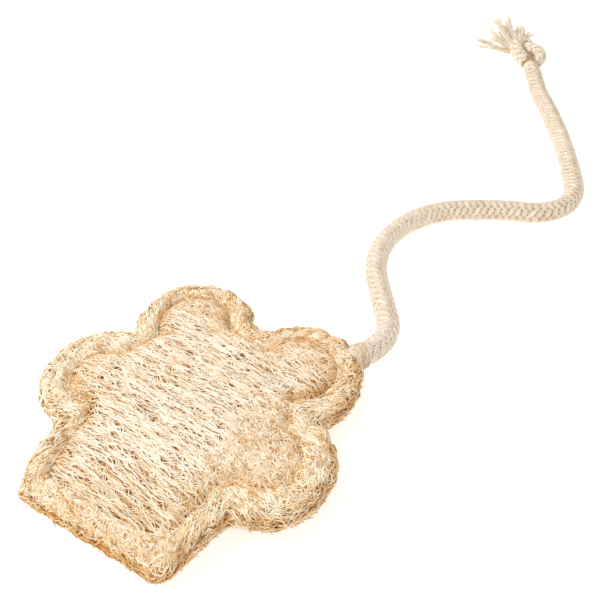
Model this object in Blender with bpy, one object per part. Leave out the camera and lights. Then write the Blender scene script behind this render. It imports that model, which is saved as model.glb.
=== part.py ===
"""Loofah back scrubber: a flat paw-shaped pad of loofah fibre and a braided cotton rope
that ends in a knot and a tassel.

Frame: origin under the pad's centre on the plane it rests on, +Y along the pad's mirror line
towards its two top lobes, +X towards the rope's side, +Z up.
Lengths are millimetres and are turned into metres when the meshes are made.
"""

import math

import bmesh
import bpy
import numpy as np

MM = 0.001
NAME = "loofah_back_scrubber"

# ---- pad outline ----
LOBE_R = 24.1  # radius of each of the four lobes
TOP_LOBE = (24.1, 31.7)  # centre of a top lobe
SIDE_LOBE = (35.5, -6.4)  # centre of a side lobe
NOTCH_X = 2.0  # the two top lobes are shifted this far towards +X
MIDDLE_R = 42.5  # disc that fills the middle of the pad
TRUNK_HALF = 36.4  # half width where the trunk leaves the side lobes
TRUNK_TAPER = 0.22  # half width lost per millimetre towards the end
TRUNK_TOP = -33.0  # y where that taper starts
TRUNK_END = -58.1  # y of the trunk's straight end
TRUNK_FADE = 0.12  # depth the trunk loses per millimetre above y = 0
TRUNK_CORNER = 0.7  # softness of the trunk's corners, in depth
INSET_TOP, INSET_SIDE, INSET_TRUNK, INSET_MIDDLE = 9.5, 11.5, 9.0, 7.0  # edge to sewn line
FILLET = 0.5  # how softly the lobes run into one another, in depth
SEARCH_OUTER, SEARCH_INNER, SEARCH_STEP = 74.0, 8.0, 0.5  # radii tried for the outline
BISECTIONS = 24

# ---- pad heights ----
MID_Z = 8.0  # the two panels meet at this height
MID_Z_END = 5.6  # and at this one at the trunk's end
RIM_TOP = 13.2
GROOVE_TOP = 10.2
CROWN = 15.6
CROWN_FALL = 0.0007  # drop of the crown per square millimetre of x
END_TOP = 10.8  # top of the trunk at its end
GROOVE_UNDER = 2.5  # depth of the sewn line's groove in the underside
SHOULDER_DROP = 1.6  # the crown is this much lower at the sewn line
PLAIN_DROP = 0.8  # and this much lower around the edge of the trunk's end
RIM_DEPTH = 0.5  # depths over which the edges round off: upper rim,
PLAIN_DEPTH = 0.55  # trunk's end
UNDER_DEPTH = 0.42  # and underside
SKIN = 3.2  # thickness of a panel inside the sewn line
GAP = 0.3  # clearance between neighbouring pieces
SEGMENTS = 84  # around the pad

# ---- pad interior, as shares of the way from the middle to the sewn line ----
JOIN = 0.93  # the panels' meeting faces end here
CAVITY = 0.84  # the cavity has its full height from here inwards
FLAT = 0.45  # a ring on the cavity's faces and the underside
CORE_EDGE = 0.895  # outermost ring of the filling
CORE_BEVEL = 0.885  # rings just above and below that edge
CORE_SHOULDER = 0.82

# ---- thread ----
THREAD_R = 0.45
THREAD_STEPS = range(-13, 56)  # the pad segments the sewn line runs over
THREAD_LIFTS = {"top": 1.3, "bottom": -1.6}  # off the panel, in GAP + THREAD_R
THREAD_GROUND_GAP = 0.1
TACK_R = 0.5
TACK_AT = 1.4  # distance along the rope

# ---- rope ----
ROPE_R = 5.0
ROPE_START = (40.6, 51.6)  # where the rope's line crosses the pad's edge
ROPE_HEADING = 54.0  # degrees from +X
ROPE_ARCS = (  # length and turn in degrees (anticlockwise positive) of each plain arc
    (30.4, 72.3),
    (22.0, -1.3),
    (77.2, -91.0),
    (33.2, -13.9),
    (34.0, 79.6),
    (10.0, 10.9),
    (119.0, 13.8),
)
ROPE_LENGTH = sum(length for length, _ in ROPE_ARCS)
ROPE_BURIED = 8.5  # length of rope inside the pad
ANCHOR_STATIONS = (-4.0, 0.5)  # rings of the anchor and of its channel near the pad's edge
CHANNEL_END = 8.0
CHANNEL_EXTRA = 0.06  # added to the gap around the rope in its channel
REST_Z = 5.0  # height of the rope's middle on the ground
DESCENT = (3.0, 26.0)  # distances between which the rope comes down to the ground
KNOT_CLIMB = (ROPE_LENGTH - 24.0, ROPE_LENGTH + 3.0)  # and rises to the knot
HINGES = (7.5, 36.0, 78.0, 120.0, 160.0, 210.0, 252.0, 292.0)  # distances along the rope
HINGE_FLAT = 0.9  # a segment's blunt tip stops this far from the hinge
HINGE_FULL = 3.0  # and it has its full radius this far from it
TIP_R = 1.6
STEP = 4.6  # spacing of the rope's rings
LAST_RINGS = (12.0, 7.0, 0.0)  # distances of the last segment's final rings from its end

# ---- knot ----
KNOT_R = 3.2  # the rope is squeezed in the knot
KNOT_NECK = 0.6  # the last segment ends this much thicker than the knot's rope
KNOT_CLEAR = 0.5
BORE = 2.0 * KNOT_R + KNOT_CLEAR  # least distance between passes of the knot's line
KNOT_HALF = 2.3  # half the knot's length with its two ends, in bores
KNOT_START = 1.1  # gap from the rope's last segment
KNOT_Z = 11.5  # height the rope climbs towards at the knot
KNOT_ROLL = math.radians(215.0)
KNOT_RINGS = 34

# ---- tightening of the knot's line; lengths are in bores ----
LOOSE_SCALE = 0.8  # size of the loose knot
LOOSE_END = 2.13  # the loose knot's parameter runs from minus this to this
LOOSE_LEAD = 0.8  # length along Y of the lead at each end
LINE_POINTS = 84
BEND_R = 0.56  # least radius of the line's bends
PULLS = 500  # most steps of pulling
PULL = 0.09  # the ends part by this at each step
FIRST_TEST = 60  # after this step, pulling stops once the links stretch
STRETCH_LIMIT = 1.06  # to this many times their length
SETTLE = 160  # steps without pulling at the end
RELAX_ROUNDS = 16  # rounds of corrections in a step
PUSH = 0.6  # share of an overlap undone in a round

# ---- tassel ----
YARNS = 10  # one in the middle and the others around it
YARN_LENGTH = 25.0
YARN_VARIATION = 0.08  # share of the length that varies around the ring
YARN_ROOT_R = 0.8
YARN_TIP_R = 1.9
YARN_END = 0.7  # the last ring is drawn in by this factor
YARN_BOW = 0.12  # upward bow, as a factor of the length
YARN_RING = 2.75  # the outer yarns leave the knot in a ring of this radius
YARN_PHASE = 0.3  # turn of that ring, in radians
YARN_FORWARD = 1.5  # the yarns start this far beyond the tassel's pivot
YARN_SPREAD = math.radians(36.0)  # half angle of the fan sideways
YARN_LIFT = math.radians(12.0)  # rise of its middle
YARN_LIFT_SPREAD = math.radians(24.0)  # half angle of the fan up and down
TASSEL_GAP = 1.3  # from the knot's end to the point the tassel turns about

# ---- materials: sRGB colour and roughness ----
THREAD_COLOUR = (238, 228, 206)
COTTON = (222, 203, 178)
MATERIALS = {
    "loofah_top": ((234, 212, 180), 0.85),
    "loofah_under": ((228, 203, 168), 0.85),
    "loofah_filling": ((206, 174, 132), 0.9),
    "top_seam_thread": (THREAD_COLOUR, 0.7),
    "bottom_seam_thread": (THREAD_COLOUR, 0.7),
    "tack_thread": (THREAD_COLOUR, 0.7),
    "rope_cotton": (COTTON, 0.8),
    "knot_cotton": (COTTON, 0.8),
    "yarn_cotton": ((234, 220, 196), 0.85),
}


# ---------------------------------------------------------------- outline


def smooth_max(a, b, softness):
    h = np.clip(0.5 + 0.5 * (a - b) / softness, 0.0, 1.0)
    return b * (1.0 - h) + a * h + softness * h * (1.0 - h)


def smooth_abs(x):
    return np.sqrt(x * x + 1e-6)


def ease(start, end, x):
    t = np.clip((x - start) / (end - start), 0.0, 1.0)
    return t * t * (3.0 - 2.0 * t)


def round_off(u, width):
    """A quarter ellipse: 0 at u = 0, rising to 1 at u = width."""
    return np.sqrt(np.clip(1.0 - (1.0 - np.clip(u / width, 0.0, 1.0)) ** 2, 0.0, 1.0))


def lobe_depth(across, y, centre, inset):
    return (LOBE_R - np.hypot(across - centre[0], y - centre[1])) / inset


def depth(x, y):
    """How far a point lies in from the pad's edge: 0 on the edge, 1 on the sewn line."""
    across = smooth_abs(x)
    top = lobe_depth(smooth_abs(x - NOTCH_X), y, TOP_LOBE, INSET_TOP)
    side = lobe_depth(across, y, SIDE_LOBE, INSET_SIDE)
    middle = (MIDDLE_R - np.hypot(x, y)) / INSET_MIDDLE
    half = TRUNK_HALF - TRUNK_TAPER * np.maximum(TRUNK_TOP - y, 0.0)
    flank = (half - across) / INSET_TRUNK
    end = (y - TRUNK_END) / INSET_TRUNK
    trunk = -smooth_max(-flank, -end, TRUNK_CORNER)
    trunk = np.where(y > 0.0, trunk - TRUNK_FADE * y, trunk)
    result = smooth_max(top, side, FILLET)
    result = smooth_max(result, trunk, FILLET)
    return smooth_max(result, middle, FILLET)


def radius_at(angle, level):
    """The outermost distance from the middle, along an angle, at which the depth is level."""
    c, s = np.cos(angle), np.sin(angle)
    far = np.full_like(angle, SEARCH_OUTER)
    near = far.copy()
    found = np.zeros(angle.shape, bool)
    for r in np.arange(SEARCH_OUTER, SEARCH_INNER, -SEARCH_STEP):
        hit = (depth(r * c, r * s) >= level) & ~found
        near[hit] = r
        far[hit] = r + SEARCH_STEP
        found |= hit
    for _ in range(BISECTIONS):
        mid = 0.5 * (near + far)
        inside = depth(mid * c, mid * s) >= level
        near = np.where(inside, mid, near)
        far = np.where(inside, far, mid)
    return near


# ---------------------------------------------------------------- pad surfaces
# Each gives a height from x, y and the depth u.


def seam_share(y):
    """1 where the sewn line shows, 0 at the trunk's end."""
    return ease(-57.0, -46.0, y)


def mid_z(x, y, u):
    """The height at which the panels meet."""
    return MID_Z_END + (MID_Z - MID_Z_END) * ease(-58.0, -40.0, y)


def top_z(x, y, u):
    """The pad's upper surface: rim, groove and crown, blended into a plain trunk end."""
    middle = mid_z(x, y, u)
    crown = END_TOP + (CROWN - END_TOP) * ease(-62.0, -30.0, y) - CROWN_FALL * x * x
    rim = middle + (RIM_TOP - middle) * round_off(u, RIM_DEPTH)
    inner = crown - SHOULDER_DROP * np.exp(-np.maximum(u - 1.0, 0.0) / 0.6)
    slope = RIM_TOP + (inner - RIM_TOP) * ease(0.75, 1.0, u)
    ridged = np.where(u < RIM_DEPTH, rim, np.where(u < 1.0, slope, inner))
    groove = np.exp(-(((u - 1.0) / 0.26) ** 2))
    ridged = ridged - groove * (np.minimum(RIM_TOP, inner) - GROOVE_TOP)
    plain = middle + (crown - PLAIN_DROP - middle) * round_off(u, PLAIN_DEPTH)
    plain = plain + PLAIN_DROP * ease(0.5, 1.6, u)
    share = seam_share(y)
    return plain * (1.0 - share) + ridged * share


def under_z(x, y, u):
    """The pad's underside: a rounded edge and a V groove along the sewn line."""
    edge = mid_z(x, y, u) * (1.0 - round_off(u, UNDER_DEPTH))
    groove = GROOVE_UNDER * np.clip(1.0 - np.abs(u - 1.0) / 0.22, 0.0, 1.0) * seam_share(y)
    return np.where(u < UNDER_DEPTH, edge, groove)


def under_flat(x, y, u):
    return np.zeros_like(x)


def cavity_roof(x, y, u):
    return top_z(x, y, np.maximum(u, 1.3)) - SKIN


def cavity_floor(x, y, u):
    return np.full_like(x, SKIN)


def lifted(surface, lift):
    return lambda x, y, u: surface(x, y, u) + lift


def blended(first, second, share, lift):
    return lambda x, y, u: first(x, y, u) * (1.0 - share) + second(x, y, u) * share + lift


seam_above = lifted(mid_z, GAP / 2)
seam_below = lifted(mid_z, -GAP / 2)


# ---------------------------------------------------------------- rope line


def rope_plan(s):
    """x, y and heading of the rope's line at a distance s along it."""
    x, y = ROPE_START
    heading = math.radians(ROPE_HEADING)
    if s <= 0.0:
        return x + s * math.cos(heading), y + s * math.sin(heading), heading
    for length, turn in ROPE_ARCS:
        part = min(s, length)
        bend = math.radians(turn) * part / length
        r = part / bend
        x += r * (math.sin(heading + bend) - math.sin(heading))
        y -= r * (math.cos(heading + bend) - math.cos(heading))
        heading += bend
        s -= part
        if s <= 1e-9:
            break
    return x, y, heading


def rope_point(s):
    x, y, _ = rope_plan(s)
    down = MID_Z + (REST_Z - MID_Z) * ease(*DESCENT, s)
    return np.array((x, y, down + (KNOT_Z - REST_Z) * ease(*KNOT_CLIMB, s)))


# ---------------------------------------------------------------- knot line


def link_lengths(line):
    return np.linalg.norm(np.diff(line, axis=0), axis=1)


def evenly(line, count):
    s = np.concatenate([[0.0], np.cumsum(link_lengths(line))])
    stations = np.linspace(0.0, s[-1], count)
    return np.stack([np.interp(stations, s, line[:, k]) for k in range(3)], 1)


def least_distances(gap, link):
    """How near two points may come that lie a number of links apart: less within a bend."""
    bend = BEND_R * BORE
    reach = np.minimum(gap * link, math.pi * bend)
    chord = 2.0 * bend * np.sin(reach / (2.0 * bend))
    return np.minimum(np.where(gap * link < math.pi * bend, chord, BORE), BORE)


def relax(p, link, i, j, least, span):
    """One round of corrections, in place: link lengths, overlaps, then the held ends."""
    for first in (0, 1):
        a, b = p[first:-1:2], p[first + 1 :: 2]
        d = b - a
        fix = 0.5 * d * (1.0 - link / np.linalg.norm(d, axis=1)[:, None])
        a += fix
        b -= fix
    d = p[j] - p[i]
    l = np.linalg.norm(d, axis=1)
    near = l < least
    overlap = (least[near] - l[near]) / np.maximum(l[near], 1e-6)
    push = 0.5 * d[near] * overlap[:, None] * PUSH
    np.add.at(p, j[near], push)
    np.add.at(p, i[near], -push)
    p[0] = (0.0, -span / 2, 0.0)
    p[-1] = (0.0, span / 2, 0.0)
    # the points next to the ends are drawn towards the axis
    p[1, (0, 2)] *= 0.5
    p[-2, (0, 2)] *= 0.5


def drawn_tight(line):
    """Draws the line's ends apart along Y, keeping its length and its passes a bore apart."""
    p = line.copy()
    link = link_lengths(p).mean()
    i, j = np.triu_indices(len(p), 2)
    least = least_distances(j - i, link)
    span = p[-1, 1] - p[0, 1]
    held = PULLS  # the step at which pulling stops
    for k in range(PULLS + SETTLE):
        if k < held:
            span += PULL * BORE
        for _ in range(RELAX_ROUNDS):
            relax(p, link, i, j, least, span)
        if FIRST_TEST < k < held and link_lengths(p).mean() > STRETCH_LIMIT * link:
            held = k
        if k > held + SETTLE:
            break
    return p


def overhand():
    """The line of an overhand knot pulled tight along Y."""
    t = np.linspace(-LOOSE_END, LOOSE_END, 400)
    loose = np.stack([t**3 - 3.0 * t, (t**5 - 10.0 * t) * 0.3, t**4 - 4.0 * t * t], 1)
    p = loose * BORE * LOOSE_SCALE
    lead = np.linspace(1.0, 0.0, 20, endpoint=False)[:, None]
    first, last = p[0], p[-1]
    start = np.array((0.0, first[1] - LOOSE_LEAD * BORE, 0.0))
    end = np.array((0.0, last[1] + LOOSE_LEAD * BORE, 0.0))
    lead_in = first + (start - first) * lead
    lead_out = (last + (end - last) * lead)[::-1]
    return drawn_tight(evenly(np.concatenate([lead_in, p, lead_out]), LINE_POINTS))


def knot_line():
    """The knot's line in its own frame, from the origin along +Y, rolled about Y."""
    p = overhand()
    kept = np.where(np.abs(p[:, 1]) < KNOT_HALF * BORE)[0]
    p = p[kept[0] : kept[-1] + 1]
    p = p - p[0]
    y = p[-1] / np.linalg.norm(p[-1])
    z = np.array((0.0, 0.0, 1.0)) - y * y[2]
    z /= np.linalg.norm(z)
    x, y, z = (p @ np.stack([np.cross(y, z), y, z], 1)).T
    c, s = math.cos(KNOT_ROLL), math.sin(KNOT_ROLL)
    return np.stack([c * x + s * z, y, -s * x + c * z], 1)


def knot_axes():
    """Axes of the knot in the part's frame: x across, y along the rope, z up."""
    heading = rope_plan(ROPE_LENGTH)[2]
    c, s = math.cos(heading), math.sin(heading)
    return np.array([(s, -c, 0.0), (c, s, 0.0), (0.0, 0.0, 1.0)])


# ---------------------------------------------------------------- scene and mesh helpers

for old in list(bpy.data.objects):
    bpy.data.objects.remove(old, do_unlink=True)


def new_collection(name):
    collection = bpy.data.collections.new(name)
    bpy.context.scene.collection.children.link(collection)
    return collection


def new_material(name, srgb, roughness):
    shares = [v / 255.0 for v in srgb]
    linear = [v / 12.92 if v <= 0.04045 else ((v + 0.055) / 1.055) ** 2.4 for v in shares]
    mat = bpy.data.materials.new(name)
    mat.use_nodes = True
    shader = mat.node_tree.nodes["Principled BSDF"]
    shader.inputs["Base Color"].default_value = (*linear, 1.0)
    shader.inputs["Roughness"].default_value = roughness
    shader.inputs["Metallic"].default_value = 0.0
    mat.diffuse_color = (*linear, 1.0)
    return mat


parts = new_collection(NAME)
tools = new_collection(NAME + "_cutters")
materials = {name: new_material(name, *look) for name, look in MATERIALS.items()}


def finish(mesh, mat):
    if mat is not None:
        mesh.materials.append(materials[mat])
    mesh.polygons.foreach_set("use_smooth", [True] * len(mesh.polygons))


def add(name, mesh, mat, at=(0.0, 0.0, 0.0), collection=parts):
    ob = bpy.data.objects.new(name, mesh)
    ob.location = tuple(at)
    collection.objects.link(ob)
    finish(mesh, mat)
    return ob


def write_outward(bm, mesh):
    """Writes a closed body to a mesh with its normals outward."""
    bmesh.ops.recalc_face_normals(bm, faces=bm.faces)
    if bm.calc_volume(signed=True) < 0:
        bmesh.ops.reverse_faces(bm, faces=bm.faces)
    bm.to_mesh(mesh)
    bm.free()


def ball_mapped(name, rings, mat):
    """A closed body from a UV sphere.

    rings lists, from its top to its bottom, functions from the angles round the pad to
    x, y and z; the first and last give the two poles.
    """
    last = len(rings) - 1
    bm = bmesh.new()
    bmesh.ops.create_uvsphere(bm, u_segments=SEGMENTS, v_segments=last, radius=1.0)
    by_ring = {}
    for v in bm.verts:
        k = round(math.acos(max(-1.0, min(1.0, v.co.z))) / math.pi * last)
        by_ring.setdefault(k, []).append(v)
    for k, verts in by_ring.items():
        angle = np.array([math.atan2(v.co.y, v.co.x) for v in verts])
        if k in (0, last):
            angle = np.zeros(1)
        for v, x, y, z in zip(verts, *rings[k](angle)):
            v.co = (x * MM, y * MM, z * MM)
    mesh = bpy.data.meshes.new(name)
    write_outward(bm, mesh)
    return add(name, mesh, mat)


def at_level(level, surface):
    """A ring where the depth is level."""

    def ring(angle):
        r = radius_at(angle, level)
        x, y = r * np.cos(angle), r * np.sin(angle)
        return x, y, surface(x, y, np.full_like(x, level))

    return ring


def at_share(share, surface):
    """A ring at a share of the way from the middle to the sewn line."""

    def ring(angle):
        r = share * radius_at(angle, 1.0)
        x, y = r * np.cos(angle), r * np.sin(angle)
        return x, y, surface(x, y, depth(x, y))

    return ring


def levels(values, surface):
    return [at_level(value, surface) for value in values]


def shares(values, surface):
    return [at_share(value, surface) for value in values]


def tube(name, points, radii, sides, mat, pivot=(0.0, 0.0, 0.0), collection=parts):
    """A round bar along points, of one radius or one at each, with its origin at pivot."""
    curve = bpy.data.curves.new(name, "CURVE")
    curve.dimensions = "3D"
    curve.bevel_depth = MM
    curve.bevel_resolution = (sides - 4) // 2
    curve.use_fill_caps = True
    line = curve.splines.new("POLY")
    line.points.add(len(points) - 1)
    base = np.asarray(pivot, float)
    for p, place, r in zip(line.points, points, np.broadcast_to(radii, len(points))):
        p.co = (*((place - base) * MM), 1.0)
        p.radius = r
    wire = bpy.data.objects.new(name + "_line", curve)
    parts.objects.link(wire)
    bpy.context.view_layer.update()
    depsgraph = bpy.context.evaluated_depsgraph_get()
    mesh = bpy.data.meshes.new_from_object(wire.evaluated_get(depsgraph))
    bpy.data.objects.remove(wire, do_unlink=True)
    bpy.data.curves.remove(curve)
    bm = bmesh.new()
    bm.from_mesh(mesh)
    # joins the end caps to the wall
    bmesh.ops.remove_doubles(bm, verts=bm.verts, dist=1e-6)
    write_outward(bm, mesh)
    mesh.name = name
    return add(name, mesh, mat, base * MM, collection)


# ---------------------------------------------------------------- pieces


def build_top_panel():
    rings = shares((0.0, 0.28, 0.54, 0.76, 0.88, 0.95), top_z)
    rings += levels((1.0, 0.88, 0.74, 0.52, 0.3, 0.13, 0.035), top_z)
    rings += levels((0.0, 0.5, 1.0), seam_above)
    rings += shares((JOIN,), seam_above)
    rings += shares((CAVITY, FLAT, 0.0), cavity_roof)
    return ball_mapped("loofah_top_panel", rings, "loofah_top")


def build_bottom_panel():
    rings = shares((0.0, FLAT, CAVITY), cavity_floor)
    rings += shares((JOIN,), seam_below)
    rings += levels((1.0, 0.5, 0.0), seam_below)
    rings += levels((0.03, 0.1, 0.22, 0.42, 0.78, 1.0), under_z)
    rings += shares((0.93, 0.45, 0.0), under_flat)
    return ball_mapped("loofah_bottom_panel", rings, "loofah_under")


def build_core():
    """The filling, clear of the cavity's faces."""
    bevel = (JOIN - CORE_BEVEL) / (JOIN - CAVITY)
    rings = shares((0.0, FLAT), lifted(cavity_roof, -GAP - 0.1))
    rings += shares((CORE_SHOULDER,), lifted(cavity_roof, -GAP - 0.5))
    rings += shares((CORE_BEVEL,), blended(seam_above, cavity_roof, bevel, -1.6))
    rings += shares((CORE_EDGE,), mid_z)
    rings += shares((CORE_BEVEL,), blended(seam_below, cavity_floor, bevel, 1.2))
    rings += shares((CORE_SHOULDER, FLAT, 0.0), lifted(cavity_floor, GAP))
    ball_mapped("loofah_core", rings, "loofah_filling")


def build_seam_thread(side, surface):
    """A thread in a panel's groove, left out where it would come too near the ground."""
    angle = 2.0 * math.pi / SEGMENTS * np.array(THREAD_STEPS)
    x, y, z = at_level(1.0, surface)(angle)
    points = np.stack([x, y, z + THREAD_LIFTS[side] * (GAP + THREAD_R)], 1)
    points = points[points[:, 2] > THREAD_R + THREAD_GROUND_GAP]
    name = side + "_seam_thread"
    tube(name, points, THREAD_R, 6, name)


def build_anchor():
    """The buried start of the rope, up to the first hinge."""
    tip = (HINGES[0] - HINGE_FULL, HINGES[0] - HINGE_FLAT)
    points = [rope_point(s) for s in (-ROPE_BURIED, *ANCHOR_STATIONS, *tip)]
    tube("rope_anchor", points, [ROPE_R] * 4 + [TIP_R], 12, "rope_cotton")


def cut_channel(panels):
    """Cuts the anchor's channel into the panels."""
    points = [rope_point(s) for s in (-ROPE_BURIED - GAP, *ANCHOR_STATIONS, CHANNEL_END)]
    radius = ROPE_R + GAP + CHANNEL_EXTRA
    channel = tube("rope_channel_cutter", points, radius, 16, None, collection=tools)
    channel.hide_render = True
    channel.display_type = "WIRE"
    for panel in panels:
        cut = panel.modifiers.new("rope_channel", "BOOLEAN")
        cut.operation = "DIFFERENCE"
        cut.solver = "EXACT"
        cut.object = channel


def build_tack():
    """The thread that ties the rope down where it comes out."""
    bpy.ops.mesh.primitive_torus_add(
        major_radius=(ROPE_R + GAP + TACK_R) * MM,
        minor_radius=TACK_R * MM,
        major_segments=28,
        minor_segments=8,
        location=tuple(rope_point(TACK_AT) * MM),
        rotation=(0.0, math.pi / 2, rope_plan(TACK_AT)[2]),
    )
    tack = bpy.context.active_object
    tack.name = tack.data.name = "rope_tack_thread"
    for collection in list(tack.users_collection):
        collection.objects.unlink(tack)
    parts.objects.link(tack)
    finish(tack.data, "tack_thread")


def stretch(start, end):
    """Distances along the rope from one hinge tip to the next, close together at the tips."""
    count = max(2, round((end - start - 2 * HINGE_FULL) / STEP) + 1)
    inner = np.linspace(start + HINGE_FULL, end - HINGE_FULL, count)
    return np.concatenate([[start + HINGE_FLAT], inner, [end - HINGE_FLAT]])


def build_segments():
    """The rope's segments, each with its origin on the hinge that carries it."""
    for k, (start, end) in enumerate(zip(HINGES, (*HINGES[1:], ROPE_LENGTH)), 1):
        stations = stretch(start, end)
        end_r = TIP_R
        if k == len(HINGES):
            # the last one narrows to the knot instead of ending in a hinge tip
            stations = np.concatenate([stations[:-4], end - np.array(LAST_RINGS)])
            end_r = KNOT_R + KNOT_NECK
        points = [rope_point(s) for s in stations]
        radii = [TIP_R] + [ROPE_R] * (len(stations) - 2) + [end_r]
        tube(f"rope_segment_{k}", points, radii, 12, "rope_cotton", rope_point(start))


def build_knot(axes):
    """The knot, turning with the last segment; returns the end of its line."""
    line = knot_line() + np.array((0.0, KNOT_START, 0.0))
    line = rope_point(ROPE_LENGTH) + line @ axes
    points = evenly(line, KNOT_RINGS)
    tube("rope_knot", points, KNOT_R, 10, "knot_cotton", rope_point(HINGES[-1]))
    return line[-1]


def build_tassel(axes, knot_end):
    """The frayed end, its yarns spread like a brush."""
    across, along, up = axes
    root = knot_end + TASSEL_GAP * along
    for k in range(YARNS):
        outer = 0.0 if k == 0 else 1.0
        phi = 2.0 * math.pi * k / (YARNS - 1) + YARN_PHASE
        c, s = math.cos(phi), math.sin(phi)
        turn = outer * YARN_SPREAD * c
        lift = YARN_LIFT + outer * YARN_LIFT_SPREAD * s
        length = YARN_LENGTH * (1.0 - YARN_VARIATION * math.cos(2.0 * phi))
        start = root + outer * YARN_RING * (across * c + up * s) + YARN_FORWARD * along
        level = math.sin(turn) * across + math.cos(turn) * along
        way = level * math.cos(lift) + up * math.sin(lift)
        points, radii = [], []
        for t in np.linspace(0.0, 1.0, 6):
            bow = YARN_BOW * t * (1.0 - t)
            points.append(start + way * length * t + up * bow * length)
            swell = math.sin(math.pi * min(t, 0.86) * 0.58)
            radii.append(YARN_ROOT_R + (YARN_TIP_R - YARN_ROOT_R) * swell)
        radii[-1] *= YARN_END
        tube(f"tassel_yarn_{k + 1:02d}", points, radii, 8, "yarn_cotton", root)


panels = (build_top_panel(), build_bottom_panel())
build_core()
build_seam_thread("top", top_z)
build_seam_thread("bottom", under_z)
build_anchor()
cut_channel(panels)
build_tack()
build_segments()
knot_directions = knot_axes()
build_tassel(knot_directions, build_knot(knot_directions))
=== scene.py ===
"""Loofah back scrubber: a lobed pad, a braided rope, an overhand knot and a frayed tassel.

The pad lies flat on z = 0 and faces +Z: two lobes towards +Y, one to each side, and a trunk
that ends at -Y. The rope leaves the +X, +Y lobe and winds over the floor towards +Y.
Sizes are in millimetres; mesh_object turns them into metres.
"""

import math

import bpy
import numpy as np
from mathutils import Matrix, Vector


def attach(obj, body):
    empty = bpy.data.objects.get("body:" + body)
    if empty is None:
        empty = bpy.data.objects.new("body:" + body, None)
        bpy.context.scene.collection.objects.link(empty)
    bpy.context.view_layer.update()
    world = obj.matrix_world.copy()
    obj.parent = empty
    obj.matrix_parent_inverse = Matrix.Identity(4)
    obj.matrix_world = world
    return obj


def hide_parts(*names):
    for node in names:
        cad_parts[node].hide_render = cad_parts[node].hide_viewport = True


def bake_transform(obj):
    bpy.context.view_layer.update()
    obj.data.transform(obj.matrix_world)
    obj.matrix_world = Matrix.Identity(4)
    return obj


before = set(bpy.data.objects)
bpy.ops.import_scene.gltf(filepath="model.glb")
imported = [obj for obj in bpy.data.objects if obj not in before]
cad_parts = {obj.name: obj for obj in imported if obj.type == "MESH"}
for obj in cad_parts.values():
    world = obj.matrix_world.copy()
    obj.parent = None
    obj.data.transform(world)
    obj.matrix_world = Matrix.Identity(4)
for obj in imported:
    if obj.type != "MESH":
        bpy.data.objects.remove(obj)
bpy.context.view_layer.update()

MM = 0.001
SHARE = 1.0  # share of the fibres that are built
UP = np.array((0.0, 0.0, 1.0))
seeded = np.random.default_rng

# ------------------------------------------------------------------ sizes

# pad outline
LOBE_R = 24.1
TOP_LOBE = (24.1, 31.7)  # lobe centres, mirrored in x
SIDE_LOBE = (35.5, -6.4)
NOTCH_X = 2.0  # the notch between the top lobes
MIDDLE_R = 42.5
TRUNK_HALF, TRUNK_TAPER, TRUNK_TOP, TRUNK_END = 36.4, 0.22, -33.0, -58.1
# distance from the outline in to the sewn line
INSET_TOP, INSET_SIDE, INSET_TRUNK, INSET_MIDDLE = 9.5, 11.5, 9.0, 7.0
FILLET, TRUNK_FILLET = 0.5, 0.7  # in insets
# pad heights
MID_Z, MID_Z_END = 8.0, 5.6  # the widest line, and the same at the trunk's end
RIM_TOP, GROOVE_TOP, CROWN, END_TOP = 13.2, 10.2, 15.6, 10.8

# rope: arcs are (length, turn in degrees)
ROPE_START, ROPE_HEADING = (40.6, 51.6), 54.0
ROPE_ARCS = (
    (30.4, 72.3), (22.0, -1.3), (77.2, -91.0), (33.2, -13.9),
    (34.0, 79.6), (10.0, 10.9), (119.0, 13.8),
)
ROPE_LENGTH = sum(length for length, _ in ROPE_ARCS)
ROPE_BURIED = 8.5
REST_Z, KNOT_Z = 5.0, 11.5
HINGES = (7.5, 36.0, 78.0, 120.0, 160.0, 210.0, 252.0, 292.0)

# knot
KNOT_R, KNOT_CLEAR = 3.2, 0.5
KNOT_BORE = 2.0 * KNOT_R + KNOT_CLEAR  # least distance between two passes
KNOT_HALF, KNOT_START, KNOT_ROLL = 2.3, 1.1, 280.0
KNOT_DRAWN, KNOT_FLAT = 0.76, 0.74  # soft rope pulls up smaller and flatter
KNOT_SHIFT = np.array((1.3, 0.5, 6.0))
KNOT_TILT = -24.0
LOOK = np.array((-82.1, 436.3, -198.9))  # axis the knot is tilted about

# ------------------------------------------------------------------ arithmetic


def unit(vectors):
    return vectors / np.maximum(np.linalg.norm(vectors, axis=-1, keepdims=True), 1e-12)


def smooth_max(first, second, fillet):
    share = np.clip(0.5 + 0.5 * (first - second) / fillet, 0.0, 1.0)
    return second * (1.0 - share) + first * share + fillet * share * (1.0 - share)


def ease(start, end, x):
    """Smooth step from 0 at start to 1 at end; start may be the larger."""
    share = np.clip((x - start) / (end - start), 0.0, 1.0)
    return share * share * (3.0 - 2.0 * share)


def bell(x, width):
    return np.exp(-((x / width) ** 2))


def rounded(x):
    """Quarter circle from 0 at x = 0 up to 1 at x = 1."""
    return np.sqrt(np.clip(1.0 - (1.0 - np.clip(x, 0.0, 1.0)) ** 2, 0.0, 1.0))


def run_along(points):
    """Distance of each point along its path."""
    return np.concatenate([[0.0], np.cumsum(np.linalg.norm(np.diff(points, axis=0), axis=1))])


def sampled(at, run, points):
    return np.stack([np.interp(at, run, points[:, k]) for k in range(3)], -1)


def evenly(points, count):
    run = run_along(points)
    return sampled(np.linspace(0.0, run[-1], count), run, points)


def smoothed(points, times):
    points = points.copy()
    for _ in range(times):
        points[1:-1] = (points[:-2] + 2.0 * points[1:-1] + points[2:]) / 4.0
    return points


# ------------------------------------------------------------------ pad shape


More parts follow.
